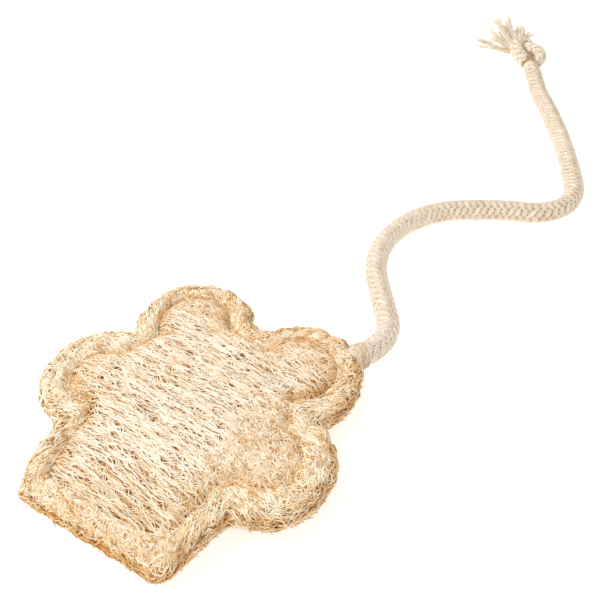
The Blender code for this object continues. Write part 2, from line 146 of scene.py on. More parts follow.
def depth(x, y):
    """How far in from the outline, in insets: 0 on the widest line, 1 on the sewn line."""
    across = np.sqrt(x * x + 1e-6)
    from_notch = np.sqrt((x - NOTCH_X) ** 2 + 1e-6)
    top = (LOBE_R - np.hypot(from_notch - TOP_LOBE[0], y - TOP_LOBE[1])) / INSET_TOP
    side = (LOBE_R - np.hypot(across - SIDE_LOBE[0], y - SIDE_LOBE[1])) / INSET_SIDE
    middle = (MIDDLE_R - np.hypot(x, y)) / INSET_MIDDLE
    half = TRUNK_HALF - TRUNK_TAPER * np.maximum(TRUNK_TOP - y, 0.0)
    flank = (half - across) / INSET_TRUNK
    end = (y - TRUNK_END) / INSET_TRUNK
    trunk = -smooth_max(-flank, -end, TRUNK_FILLET)
    trunk = np.where(y > 0.0, trunk - 0.12 * y, trunk)  # fades out above the middle
    inset = smooth_max(top, side, FILLET)
    inset = smooth_max(inset, trunk, FILLET)
    return smooth_max(inset, middle, FILLET)


def radius_at(angle, level):
    """Radius at which each angle reaches a depth: a march inwards, then halving."""
    outermost, innermost, march = 74.0, 8.0, 0.5
    cos, sin = np.cos(angle), np.sin(angle)
    far = np.full_like(angle, outermost)
    near = far.copy()
    found = np.zeros(angle.shape, bool)
    for radius in np.arange(outermost, innermost, -march):
        hit = (depth(radius * cos, radius * sin) >= level) & ~found
        near[hit] = radius
        far[hit] = radius + march
        found |= hit
    for _ in range(22):
        mid = 0.5 * (near + far)
        inside = depth(mid * cos, mid * sin) >= level
        near = np.where(inside, mid, near)
        far = np.where(inside, far, mid)
    return near


def mid_z(y):
    return MID_Z_END + (MID_Z - MID_Z_END) * ease(-58.0, -40.0, y)


def top_z(x, y, inset):
    """Height of the upper face: ridged by the seam, plain at the trunk's end."""
    edge = mid_z(y)
    crown = END_TOP + (CROWN - END_TOP) * ease(-62.0, -30.0, y) - 0.0007 * x * x
    rim = edge + (RIM_TOP - edge) * rounded(inset / 0.5)
    inner = crown - 1.6 * np.exp(-np.maximum(inset - 1.0, 0.0) / 0.6)
    shoulder = RIM_TOP + (inner - RIM_TOP) * ease(0.75, 1.0, inset)
    ridged = np.where(inset < 0.5, rim, shoulder)
    ridged = ridged - bell(inset - 1.0, 0.26) * (np.minimum(RIM_TOP, inner) - GROOVE_TOP)
    plain = edge + (crown - 0.8 - edge) * rounded(inset / 0.55) + 0.8 * ease(0.5, 1.6, inset)
    seam = ease(-57.0, -46.0, y)
    return plain * (1.0 - seam) + ridged * seam


def under_z(x, y, inset):
    return mid_z(y) * (1.0 - rounded(inset / 0.42))


def end_merge(y):
    """1 at the trunk's end, where no seam runs and the fibres go on over the rim."""
    return 1.0 - ease(-50.0, -39.0, y)


def groove_fill(x, y):
    """Height of loose fibres in the sewn groove: more towards +X, most at the trunk's end."""
    return np.maximum(1.1 + 1.1 * ease(0.0, 30.0, x), 2.5 * end_merge(y))


def skin_height(x, y):
    inset = np.maximum(depth(x, y), 0.0)
    return top_z(x, y, inset) + groove_fill(x, y) * bell(inset - 1.0, 0.3)


# ------------------------------------------------------------------ rope line


def rope_plan(run):
    """Plan position and heading (radians) at a distance along the rope."""
    x, y = ROPE_START
    heading = math.radians(ROPE_HEADING)
    for length, turn in ROPE_ARCS:
        if run <= 1e-9:
            break
        part = min(run, length)
        bend = math.radians(turn) * part / length
        radius = part / bend
        x += radius * (math.sin(heading + bend) - math.sin(heading))
        y -= radius * (math.cos(heading + bend) - math.cos(heading))
        heading += bend
        run -= part
    return x + run * math.cos(heading), y + run * math.sin(heading), heading


def rope_point(run):
    """The rope comes down from the pad, rests, and rises into the knot."""
    x, y, _ = rope_plan(run)
    down = MID_Z + (REST_Z - MID_Z) * float(ease(3.0, 26.0, run))
    rise = float(ease(ROPE_LENGTH - 24.0, ROPE_LENGTH + 3.0, run))
    return np.array((x, y, down + (KNOT_Z - REST_Z) * rise))


def drawn_tight(points, bore):
    """Pulls a loose knot tight: links keep their length and passes stay a bore apart."""
    pulls, settle = 500, 160
    path = points.copy()
    link = np.linalg.norm(np.diff(path, axis=0), axis=1).mean()
    i, j = np.triu_indices(len(path), 2)
    gap = j - i
    bend = 0.56 * bore  # tightest bend radius
    reach = np.minimum(gap * link, math.pi * bend)
    chord = 2.0 * bend * np.sin(reach / (2.0 * bend))
    least = np.minimum(np.where(gap * link < math.pi * bend, chord, bore), bore)
    span = path[-1, 1] - path[0, 1]
    held = pulls
    for k in range(pulls + settle):
        if k < held:
            span += 0.09 * bore
        for _ in range(16):
            for first in (0, 1):
                here, after = path[first:-1:2], path[first + 1 :: 2]
                pairs = min(len(here), len(after))
                apart = after[:pairs] - here[:pairs]
                length = np.linalg.norm(apart, axis=1)[:, None]
                fix = 0.5 * apart * (1.0 - link / length)
                path[first : first + 2 * pairs : 2] += fix
                path[first + 1 : first + 1 + 2 * pairs : 2] -= fix
            apart = path[j] - path[i]
            length = np.linalg.norm(apart, axis=1)
            near = length < least
            lack = (least[near] - length[near]) / np.maximum(length[near], 1e-6)
            push = 0.5 * apart[near] * lack[:, None] * 0.6
            np.add.at(path, j[near], push)
            np.add.at(path, i[near], -push)
            path[0] = (0.0, -span / 2, 0.0)
            path[-1] = (0.0, span / 2, 0.0)
            path[1, (0, 2)] *= 0.5
            path[-2, (0, 2)] *= 0.5
        stretch = np.linalg.norm(np.diff(path, axis=0), axis=1).mean()
        if 60 < k < held and stretch > 1.06 * link:
            held = k
        if k > held + settle:
            break
    return path


def overhand(bore):
    """An overhand knot along Y, from a polynomial trefoil with straight leads."""
    t = np.linspace(-2.13, 2.13, 400)
    loop = np.stack([t**3 - 3.0 * t, (t**5 - 10.0 * t) * 0.3, t**4 - 4.0 * t * t], 1)
    loop = loop * bore * 0.8
    lead = np.linspace(1.0, 0.0, 20, endpoint=False)[:, None]
    first, last = loop[0], loop[-1]
    start = np.array((0.0, first[1] - 0.8 * bore, 0.0))
    end = np.array((0.0, last[1] + 0.8 * bore, 0.0))
    lead_in = first + (start - first) * lead
    lead_out = (last + (end - last) * lead)[::-1]
    return drawn_tight(evenly(np.concatenate([lead_in, loop, lead_out]), 84), bore)


def turned(axis, degrees):
    """Rotation matrix about an axis."""
    axis = unit(axis)
    cos, sin = math.cos(math.radians(degrees)), math.sin(math.radians(degrees))
    skew = np.array((
        (0.0, -axis[2], axis[1]),
        (axis[2], 0.0, -axis[0]),
        (-axis[1], axis[0], 0.0),
    ))
    return np.eye(3) + sin * skew + (1.0 - cos) * (skew @ skew)


_heading = rope_plan(ROPE_LENGTH)[2]
# knot axes as rows: to the right of the rope's run, along it, up
KNOT_AXES = np.array((
    (math.sin(_heading), -math.cos(_heading), 0.0),
    (math.cos(_heading), math.sin(_heading), 0.0),
    (0.0, 0.0, 1.0),
))
KNOT_O = rope_point(ROPE_LENGTH)


def soft_knot():
    """The knot's centre line, rolled, drawn small, tilted, flattened and led in from the rope."""
    knot = overhand(KNOT_BORE)
    kept = np.where(np.abs(knot[:, 1]) < KNOT_HALF * KNOT_BORE)[0]
    knot = knot[kept[0] : kept[-1] + 1]
    knot = knot - knot[0]
    run_axis = knot[-1] / np.linalg.norm(knot[-1])
    up_axis = UP - run_axis * run_axis[2]
    up_axis /= np.linalg.norm(up_axis)
    x, y, z = (knot @ np.stack([np.cross(run_axis, up_axis), run_axis, up_axis], 1)).T
    cos, sin = math.cos(math.radians(KNOT_ROLL)), math.sin(math.radians(KNOT_ROLL))
    local = np.stack([cos * x + sin * z, y + KNOT_START, -sin * x + cos * z], 1)
    knot = (local * KNOT_DRAWN) @ KNOT_AXES @ turned(LOOK, KNOT_TILT).T
    middle = 0.5 * (knot.min(0) + knot.max(0))
    high = np.cross(unit(np.cross(LOOK, UP)), unit(LOOK))
    knot = knot - (1.0 - KNOT_FLAT) * ((knot - middle) @ high)[:, None] * high
    knot = knot + KNOT_SHIFT @ KNOT_AXES + KNOT_O
    lead = bell(run_along(knot), 7.0)[:, None]
    return knot + (KNOT_O - knot[0] + KNOT_AXES[1]) * lead


# ------------------------------------------------------------------ mesh helpers


def mesh_object(name, verts, quads, material, tone, uv=None):
    mesh = bpy.data.meshes.new(name)
    mesh.vertices.add(len(verts))
    mesh.vertices.foreach_set("co", (verts * MM).astype(np.float32).ravel())
    quads = np.asarray(quads, np.int32)
    mesh.loops.add(quads.size)
    mesh.loops.foreach_set("vertex_index", quads.ravel())
    mesh.polygons.add(len(quads))
    mesh.polygons.foreach_set("loop_start", np.arange(len(quads), dtype=np.int32) * 4)
    if uv is not None:
        layer = mesh.uv_layers.new(name="lay")
        layer.data.foreach_set("uv", uv.astype(np.float32).ravel())
    attribute = mesh.attributes.new("tone", "FLOAT", "POINT")
    attribute.data.foreach_set("value", np.asarray(tone, np.float32).ravel())
    mesh.update(calc_edges=True)
    mesh.polygons.foreach_set("use_smooth", np.full(len(quads), True))
    mesh.materials.append(material)
    made = bpy.data.objects.new(name, mesh)
    bpy.context.scene.collection.objects.link(made)
    return made


def tube_arrays(paths, radii, sides, ref, along=None):
    """Vertices, quads and uv of round strands.

    paths is strand x point x 3, radii strand x point, ref a direction none of them runs along.
    """
    count, points, _ = paths.shape
    tangent = unit(np.gradient(paths, axis=1))
    right = unit(np.cross(tangent, np.broadcast_to(ref, paths.shape)))
    up = np.cross(tangent, right)
    angle = (np.arange(sides) * 2.0 * np.pi / sides)[:, None]
    ring = np.cos(angle) * right[:, :, None] + np.sin(angle) * up[:, :, None]
    verts = paths[:, :, None] + radii[:, :, None, None] * ring
    base = (np.arange(count) * points * sides)[:, None, None]
    low = base + np.arange(points - 1)[None, :, None] * sides
    high = base + (np.arange(points - 1)[None, :, None] + 1) * sides
    k = np.arange(sides)[None, None, :]
    after = (k + 1) % sides
    quads = np.stack([low + k, low + after, high + after, high + k], -1)
    if along is None:
        step = np.linalg.norm(np.diff(paths, axis=1), axis=2)
        along = np.concatenate([np.zeros((count, 1)), np.cumsum(step, axis=1)], 1)
    u0, u1, v0, v1 = (
        np.broadcast_to(part, quads.shape[:3])
        for part in (k / sides, (k + 1) / sides, along[:, :-1, None], along[:, 1:, None])
    )
    corners = ((u0, v0), (u1, v0), (u1, v1), (u0, v1))
    uv = np.stack([np.stack(corner, -1) for corner in corners], -2)
    return verts.reshape(-1, 3), quads.reshape(-1, 4), uv.reshape(-1, 2)


# painted light and shade on round strands: a strand is painted paler along the side facing its ref direction
# (the top, for fibres laid with UP) and darker at its sides and underneath
FLANK_SHADE = 0.24  # how much darker a strand is at its sides than along its top


def strands(name, paths, radii, ref, material, tone, sides=4):
    """One mesh of many strands; tone has a value for each strand or each of its points, and each strand gets
    painted shade: paler on the side facing ref, darker round its sides and on the far side.
    """
    verts, quads, uv = tube_arrays(paths, radii, sides, ref)
    count, points, _ = paths.shape
    # crown is 1 on the side facing ref and -1 on the far side: the painted shade follows it
    crown = -np.sin(np.arange(sides) * 2.0 * np.pi / sides)
    tone = np.broadcast_to(tone.reshape(count, -1, 1), (count, points, 1))
    tone = np.clip(tone + FLANK_SHADE * (crown - 0.3), 0.0, 1.0)
    return mesh_object(name, verts, quads, material, tone, uv)


# ------------------------------------------------------------------ materials


def srgb(*colour):
    """Linear colour from 0 to 255 values."""
    return tuple(
        ((x / 255.0 + 0.055) / 1.055) ** 2.4 if x > 10 else x / 255.0 / 12.92 for x in colour
    )


def new_material(name, roughness):
    material = bpy.data.materials.new(name)
    material.use_nodes = True
    tree = material.node_tree
    shader = tree.nodes["Principled BSDF"]
    shader.inputs["Roughness"].default_value = roughness
    shader.inputs["Specular IOR Level"].default_value = 0.25
    return material, tree, shader


def object_place(tree):
    return tree.nodes.new("ShaderNodeTexCoord").outputs["Object"]


def texture(tree, kind, vector, **inputs):
    made = tree.nodes.new(kind)
    for key, value in inputs.items():
        made.inputs[key].default_value = value
    tree.links.new(vector, made.inputs["Vector"])
    return made


def maths(tree, operation, first, second=None, clamp=False):
    made = tree.nodes.new("ShaderNodeMath")
    made.operation = operation
    made.use_clamp = clamp
    for k, value in enumerate((first, second)):
        if value is None:
            continue
        if isinstance(value, (int, float)):
            made.inputs[k].default_value = value
        else:
            tree.links.new(value, made.inputs[k])
    return made.outputs[0]


def mottled_tone(tree, noise, share, clamp):
    """The strand's tone, shifted by a share of the noise."""
    attribute = tree.nodes.new("ShaderNodeAttribute")
    attribute.attribute_name = "tone"
    shift = maths(tree, "MULTIPLY", maths(tree, "SUBTRACT", noise, 0.5), share)
    return maths(tree, "ADD", attribute.outputs["Fac"], shift, clamp=clamp)


def colour_by(tree, shader, tone, colours, stops=(0.0, 0.5, 1.0)):
    made = tree.nodes.new("ShaderNodeValToRGB")
    elements = made.color_ramp.elements
    while len(elements) < len(stops):
        elements.new(0.5)
    for element, stop, colour in zip(elements, stops, colours):
        element.position = stop
        element.color = (*srgb(*colour), 1.0)
    tree.links.new(tone, made.inputs["Fac"])
    tree.links.new(made.outputs["Color"], shader.inputs["Base Color"])


def bump_by(tree, shader, height, strength, distance):
    made = tree.nodes.new("ShaderNodeBump")
    made.inputs["Strength"].default_value = strength
    made.inputs["Distance"].default_value = distance
    tree.links.new(height, made.inputs["Height"])
    tree.links.new(made.outputs["Normal"], shader.inputs["Normal"])


def fibre_material(name, dark, middle, pale, mottle_scale=260.0):
    """Fibre: its tone sets how dark it is, and a fine noise mottles it along its length."""
    roughness = 0.78
    material, tree, shader = new_material(name, roughness)
    place = object_place(tree)
    noise = texture(
        tree, "ShaderNodeTexNoise", place, Scale=mottle_scale, Detail=3.0, Roughness=0.6
    ).outputs["Fac"]
    tone = mottled_tone(tree, noise, share=0.35, clamp=True)
    colour_by(tree, shader, tone, (dark, middle, pale))
    rough = maths(tree, "ADD", maths(tree, "MULTIPLY", noise, 0.2), roughness - 0.1)
    tree.links.new(rough, shader.inputs["Roughness"])
    fine = texture(tree, "ShaderNodeTexNoise", place, Scale=2600.0, Detail=2.0)
    bump_by(tree, shader, fine.outputs["Fac"], strength=0.35, distance=0.0002)
    return material


def yarn_material(name, dark, middle, pale, pitch=1.5, strength=0.5):
    """Cotton yarn: twisted plies as a bump along the strand with painted shade in the grooves between them,
    tone per strand, a soft mottle.
    """
    material, tree, shader = new_material(name, roughness=0.82)
    uv = tree.nodes.new("ShaderNodeUVMap")
    uv.uv_map = "lay"
    split = tree.nodes.new("ShaderNodeSeparateXYZ")
    tree.links.new(uv.outputs["UV"], split.inputs[0])
    around = maths(tree, "MULTIPLY", split.outputs[0], 2.0)
    along = maths(tree, "MULTIPLY", split.outputs[1], 1.0 / pitch)
    turn = maths(tree, "ADD", around, along)
    wave = maths(tree, "SINE", maths(tree, "MULTIPLY", turn, 2.0 * math.pi))
    noise = texture(
        tree, "ShaderNodeTexNoise", object_place(tree), Scale=420.0, Detail=3.0, Roughness=0.65
    ).outputs["Fac"]
    tone = mottled_tone(tree, noise, share=0.5, clamp=False)
    # painted shade: the tone follows the twist, darker in the grooves between the plies
    tone = maths(tree, "ADD", tone, maths(tree, "MULTIPLY", wave, 0.07), clamp=True)
    colour_by(tree, shader, tone, (dark, middle, pale))
    height = maths(tree, "ADD", maths(tree, "MULTIPLY", wave, 0.5), noise)
    bump_by(tree, shader, height, strength=strength, distance=0.00025)
    shader.inputs["Sheen Weight"].default_value = 0.15
    shader.inputs["Sheen Roughness"].default_value = 0.5
    return material


def bed_material(name, dark, middle, pale):
    """The pressed layer under the loose fibres: tan, partly the fibres' own colour and partly painted shade
    deep in the network, with darker pits as painted shade.
    """
    material, tree, shader = new_material(name, roughness=0.9)
    mapping = tree.nodes.new("ShaderNodeMapping")
    mapping.inputs["Scale"].default_value = (0.45, 1.0, 1.0)
    tree.links.new(object_place(tree), mapping.inputs["Vector"])
    place = mapping.outputs["Vector"]
    cells = texture(tree, "ShaderNodeTexVoronoi", place, Scale=420.0)
    noise = texture(tree, "ShaderNodeTexNoise", place, Scale=180.0, Detail=4.0)
    # painted shade: the tone is darkest in the pits, and the same tone drives the bump
    pits = maths(tree, "MULTIPLY", cells.outputs["Distance"], 0.9)
    mottle = maths(tree, "MULTIPLY", noise.outputs["Fac"], 0.55)
    tone = maths(tree, "ADD", pits, mottle, clamp=True)
    colour_by(tree, shader, tone, (dark, middle, pale), stops=(0.15, 0.5, 0.9))
    bump_by(tree, shader, tone, strength=0.8, distance=0.0008)
    return material


def plain_material(name, colour, roughness):
    material, _, shader = new_material(name, roughness)
    shader.inputs["Base Color"].default_value = (*colour, 1.0)
    return material


# colours are dark, middle, pale
LOOFAH = fibre_material("loofah_fibre", (213, 159, 90), (236, 209, 171), (254, 246, 230))
LOOFAH_RIM = fibre_material("loofah_rim_fibre", (209, 149, 74), (235, 199, 148), (254, 245, 225))
# darker, more saturated copies of the fibre colours for the low layers and the bed: painted shade deep in the
# network
LOOFAH_DEEP_SHADED = fibre_material(
    "loofah_deep_fibre_shaded", (208, 141, 68), (230, 180, 110), (247, 219, 174)
)
LOOFAH_BED = bed_material("loofah_bed", (202, 132, 58), (228, 167, 92), (240, 196, 132))
COTTON = yarn_material("braid_cotton", (170, 138, 106), (226, 206, 182), (248, 238, 222))
# the rope's core is a real part, painted a darker tan than the yarns as painted shade seen in the gaps of the
# braid
COTTON_CORE_SHADED = plain_material("rope_inside", srgb(198, 170, 140), roughness=0.9)
FUZZ = fibre_material(
    "cotton_fuzz", (226, 208, 182), (244, 232, 212), (254, 248, 236), mottle_scale=90.0
)
TASSEL = fibre_material(
    "tassel_cotton", (222, 198, 164), (247, 233, 210), (255, 251, 241), mottle_scale=120.0
)
THREAD = yarn_material(
    "sewing_thread", (206, 180, 146), (232, 214, 184), (250, 240, 220), pitch=0.8, strength=0.4
)
SPECK = plain_material("rope_speck", srgb(88, 62, 44), roughness=0.8)

# ------------------------------------------------------------------ the wrap: the pad's rim as a grid

# The wrap runs round the pad and, as "over" from 0 to 1, from the sewn line over the rim to
# below the sewn line. UPPER and LOWER are the depths of its rings.
TURNS = 720
ANGLES = np.arange(TURNS) * 2.0 * np.pi / TURNS
UPPER = (1.0, 0.94, 0.88, 0.8, 0.72, 0.62, 0.52, 0.42, 0.32, 0.22, 0.13, 0.06, 0.02, 0.0)
LOWER = (0.02, 0.06, 0.13, 0.22, 0.32, 0.42, 0.7, 1.0)
RADII = {level: radius_at(ANGLES, level) for level in set(UPPER + LOWER)}
GROOVE_R = RADII[1.0]


def ring_grid():
    rings = []
    for level, height in [(u, top_z) for u in UPPER] + [(u, under_z) for u in LOWER]:
        x, y = RADII[level] * np.cos(ANGLES), RADII[level] * np.sin(ANGLES)
        rings.append(np.stack([x, y, height(x, y, np.full_like(x, level))], -1))
    grid = np.stack(rings, 1)  # turn x ring x 3
    upper = grid[:, : len(UPPER)]
    upper[..., 2] += groove_fill(upper[..., 0], upper[..., 1]) * bell(np.array(UPPER) - 1.0, 0.3)
    return grid


GRID = ring_grid()
RING_OVER = np.concatenate(
    [[0.0], np.cumsum(np.linalg.norm(np.diff(GRID, axis=1), axis=2).mean(0))]
)
WRAP_MM = RING_OVER[-1]
RING_OVER = RING_OVER / WRAP_MM
OVER_EDGE = RING_OVER[len(UPPER) - 1]  # the pad's widest line
OVER_RIM = float(np.interp(0.5, UPPER[::-1], RING_OVER[: len(UPPER)][::-1]))
OVER_FLOOR = RING_OVER[len(UPPER) + LOWER.index(0.42)]  # where the rim meets the flat underside
FINE = 96
OVERS = np.linspace(0.0, 1.0, FINE)


def blurred(grid, turns, rows):
    for _ in range(turns):
        grid = (np.roll(grid, 1, 0) + 2.0 * grid + np.roll(grid, -1, 0)) / 4.0
    for _ in range(rows):
        grid[:, 1:-1] = (grid[:, :-2] + 2.0 * grid[:, 1:-1] + grid[:, 2:]) / 4.0
    return grid


def grid_normals(grid):
    """Outward normals and cell areas."""
    around = np.roll(grid, -1, 0) - np.roll(grid, 1, 0)
    over = np.gradient(grid, axis=1)
    return unit(np.cross(over, around)), np.linalg.norm(np.cross(around, over), axis=2)


def tucked(wrap, normals):
    """The lower edge is rubbed round, most of all at the trunk's end."""
    start = OVER_EDGE - 0.04
    low = np.clip((OVERS - OVER_EDGE + 0.04) / (OVER_FLOOR - start), 0.0, 1.0)[None, :]
    tuck = (np.sin(np.pi * low) ** 0.8 * 0.8 + 0.3 * low) * (
        0.25 + 0.75 * ease(-20.0, -48.0, wrap[..., 1])
    )
    wrap = wrap - normals * tuck[..., None]
    wrap[..., 2] = np.maximum(wrap[..., 2], 0.3)
    return wrap


WRAP = blurred(np.stack([sampled(OVERS, RING_OVER, GRID[k]) for k in range(TURNS)]), 2, 4)
WRAP_NORMALS, WRAP_AREAS = grid_normals(WRAP)
WRAP = tucked(WRAP, WRAP_NORMALS)


def on_wrap(angle, over, table):
    """The table's value at an angle (radians) and a share over the rim."""
    turn = (angle / (2.0 * np.pi) * TURNS) % TURNS
    row = np.clip(over, 0.0, 0.9999) * (FINE - 1)
    i, j = np.floor(turn).astype(int), np.floor(row).astype(int)
    part, row_part = (turn - i)[..., None], (row - j)[..., None]
    after = (i + 1) % TURNS
    i = i % TURNS
    near = table[i, j] * (1 - part) + table[after, j] * part
    far = table[i, j + 1] * (1 - part) + table[after, j + 1] * part
    return near * (1 - row_part) + far * row_part


# ------------------------------------------------------------------ how fibres wander


def wander(rng, count, points, waves, size):
    """Smooth sideways wandering of strands, with waves bends from end to end."""
    t = np.linspace(0.0, 1.0, points)[None, :]
    out = np.zeros((count, points))
    for k in range(2):
        often = rng.uniform(waves[0], waves[1], (count, 1)) * (1.0 + 0.9 * k)
        sway = np.sin(2.0 * np.pi * (often * t + rng.random((count, 1))))
        out += sway * rng.uniform(0.3, 1.0, (count, 1)) / (1.0 + k)
    return out * size


def curled(rng, length, points, start, swing, wave):
    """Paths in a plane that set off at angle start and swing to either side, a bend every wave."""
    count = len(length)
    t = np.linspace(-0.5, 0.5, points)[None, :]
    run = t * length[:, None]
    heading = start[:, None] + np.zeros((count, points))
    for k, share in enumerate((1.0, 0.55)):
        pitch = wave * rng.uniform(0.7, 1.5, (count, 1)) / (1.0 + 0.8 * k)
        size = math.radians(swing) * share * rng.uniform(0.35, 1.0, (count, 1))
        heading = heading + size * np.sin(2.0 * np.pi * (run / pitch + rng.random((count, 1))))
    step = (length / (points - 1))[:, None]
    along = np.cumsum(np.cos(heading) * step, 1)
    across = np.cumsum(np.sin(heading) * step, 1)
    mid = points // 2
    return along - along[:, mid : mid + 1], across - across[:, mid : mid + 1]


def tapered(points, share, power=4):
    return 1.0 - share * np.abs(np.linspace(-1.0, 1.0, points))[None, :] ** power


def clipped_normal(rng, mean, spread, size):
    return np.clip(rng.normal(mean, spread, size), 0.0, 1.0)


rng_lump = seeded(3)
LUMP_WAYS = unit(rng_lump.normal(size=(26, 3)) * np.array((1.0, 1.0, 0.8)))
LUMP_WAVES = LUMP_WAYS * 2.0 * np.pi / rng_lump.uniform(4.0, 11.0, (26, 1))
LUMP_PHASES = rng_lump.uniform(0.0, 2.0 * np.pi, 26)
RIM_LUMP, TOP_LUMP = 0.6, 0.3


def lumps(place):
    """Uneven swelling of the network at each place, mostly within -1 to 1."""
    swell = np.sin(place @ LUMP_WAVES.T + LUMP_PHASES).sum(-1) / 5.2
    return np.clip(swell, -1.4, 1.0)


# ------------------------------------------------------------------ fibres over the rim


def any_way(rng, count):
    return rng.uniform(-90.0, 90.0, count)


def mostly_along(rng, count):
    return rng.normal(0.0, 20.0, count)


def mostly_across(rng, count):
    return 90.0 + rng.normal(0.0, 45.0, count)


def wrap_fibres(name, seed, count, span, length, slant, swing, wave, radius, lift, tone,
                material, points, sink, hook):
    """Fibres that lie on the rim and side; the columns are explained at WRAP_LAYERS."""
    rng = seeded(seed)
    count = int(count * SHARE)
    weight = WRAP_AREAS * ((OVERS >= span[0]) & (OVERS <= span[1]))
    pick = rng.choice(weight.size, count, p=weight.ravel() / weight.sum())
    angle0 = (pick // FINE + rng.random(count)) * 2.0 * np.pi / TURNS
    over0 = (pick % FINE + rng.random(count) - 0.5) / (FINE - 1)
    lengths = rng.uniform(*length, count)
    along, across = curled(rng, lengths, points, np.radians(slant(rng, count)), swing, wave)
    # millimetres round the rim for each radian
    chord = on_wrap(angle0 + 0.02, over0, WRAP) - on_wrap(angle0 - 0.02, over0, WRAP)
    scale = np.linalg.norm(chord, axis=1)[:, None] / 0.04
    angle = angle0[:, None] + along / np.maximum(scale, 30.0)
    over = over0[:, None] + across / WRAP_MM
    paths = on_wrap(angle, over, WRAP)
    normals = unit(on_wrap(angle, over, WRAP_NORMALS))
    height = rng.uniform(*lift, count)[:, None] + wander(rng, count, points, (0.8, 2.0), 0.15)
    height = height - sink * np.abs(np.linspace(-1.0, 1.0, points))[None, :] ** 3
    low = ease(OVER_EDGE - 0.03, OVER_EDGE + 0.06, over)
    calm = (1.0 - 0.9 * low) * (1.0 - 0.65 * end_merge(paths[..., 1]))
    height = height + lumps(paths) * RIM_LUMP * calm - 0.35 * low
    if hook:
        rise = np.linspace(0.0, 1.0, points)[None, :] ** 2.2
        height = height + hook * rng.uniform(0.0, 1.0, (count, 1)) * rise
    paths = paths + normals * height[..., None]
    paths[..., 2] = np.maximum(paths[..., 2], 0.25)
    radii = rng.uniform(*radius, count)[:, None] * tapered(points, 0.5)

    # painted light and shade: the rim's upper part is painted paler and the side below it darker, as if lit
    # from above;
    # the trunk's lower edge is painted paler, as light thrown up from the floor; painted shade down in the
    # groove. Also paler towards the -X side, darker on the top lobes and at the trunk's end
    x, y = paths[:, points // 2, 0], paths[:, points // 2, 1]
    far = ease(20.0, 45.0, y)
    end = end_merge(y)
    shade = rng.normal(*tone, count) + 0.14 * np.clip(1.0 - over0 / OVER_RIM, -1.0, 1.0)
    shade = shade - 0.1 * far + 0.12 * ease(-28.0, -42.0, x) * (1.0 - far)
    lower = ease(OVER_EDGE - 0.06, OVER_EDGE + 0.03, over0)
    shade = shade + 0.2 * lower * ease(-20.0, -45.0, y)
    shade = shade - 0.3 * bell(over0, 0.07) * (1.0 - end) - 0.14 * end
    return strands(name, paths, radii, normals, material, np.clip(shade, 0.0, 1.0))


# ------------------------------------------------------------------ fibres on the upper face


def flow(x, y):
    """Angle from +X of the fibres' run on the top, in radians."""
    fan = -15.0 * ease(5.0, 45.0, x) + 5.0 * ease(-10.0, -45.0, x)
    return np.radians(-3.0 + fan + 6.0 * np.sin(x * 0.11 + 1.3) * np.cos(y * 0.09))


def unruly(x, y):
    """How far the fibres' run is lost: 0 in the middle, up to 1 on the +X side lobe."""
    right = ease(14.0, 36.0, x) * ease(30.0, 5.0, y)
    left = 0.55 * ease(-26.0, -44.0, x) * ease(-30.0, -5.0, y)
    return np.clip(right + left + 0.5 * ease(26.0, 40.0, y), 0.0, 1.0)


# long openings in the network: centre, half length, half width, angle
HOLES = 950
rng_hole = seeded(11)
HOLE_X = rng_hole.uniform(-50.0, 50.0, HOLES)
HOLE_Y = rng_hole.uniform(-57.0, 50.0, HOLES)
HOLE_LONG = rng_hole.uniform(0.7, 1.6, HOLES) * np.where(rng_hole.random(HOLES) < 0.1, 1.4, 1.0)
HOLE_WIDE = HOLE_LONG * rng_hole.uniform(0.28, 0.48, HOLES)
HOLE_ANGLE = flow(HOLE_X, HOLE_Y) + rng_hole.normal(0.0, 0.14, HOLES)


def opened(x, y):
    """Moves points of the top fibres aside, round the openings in the network."""
    shape = x.shape
    x, y = x.ravel().copy(), y.ravel().copy()
    batch, reach = 3000, 4.0
    order = np.argsort(y)
    for first in range(0, len(x), batch):
        k = order[first : first + batch]
        near = (HOLE_Y > y[k].min() - reach) & (HOLE_Y < y[k].max() + reach)
        cos, sin = np.cos(HOLE_ANGLE[near]), np.sin(HOLE_ANGLE[near])
        long, wide = HOLE_LONG[near], HOLE_WIDE[near]
        from_x, from_y = x[k, None] - HOLE_X[near], y[k, None] - HOLE_Y[near]
        along = from_x * cos + from_y * sin
        across = -from_x * sin + from_y * cos
        push = wide * 1.2 * bell(along, long * 1.15) * np.exp(-np.abs(across) / (1.5 * wide))
        push = push * np.tanh(across / (0.12 * wide))
        x[k] += (-push * sin).sum(1)
        y[k] += (push * cos).sum(1)
    return x.reshape(shape), y.reshape(shape)


# depths between which a fibre stops, and how much lower they are at the trunk's end
STOP_FROM, STOP_TO, END_EASING = 0.6, 1.02, 0.72


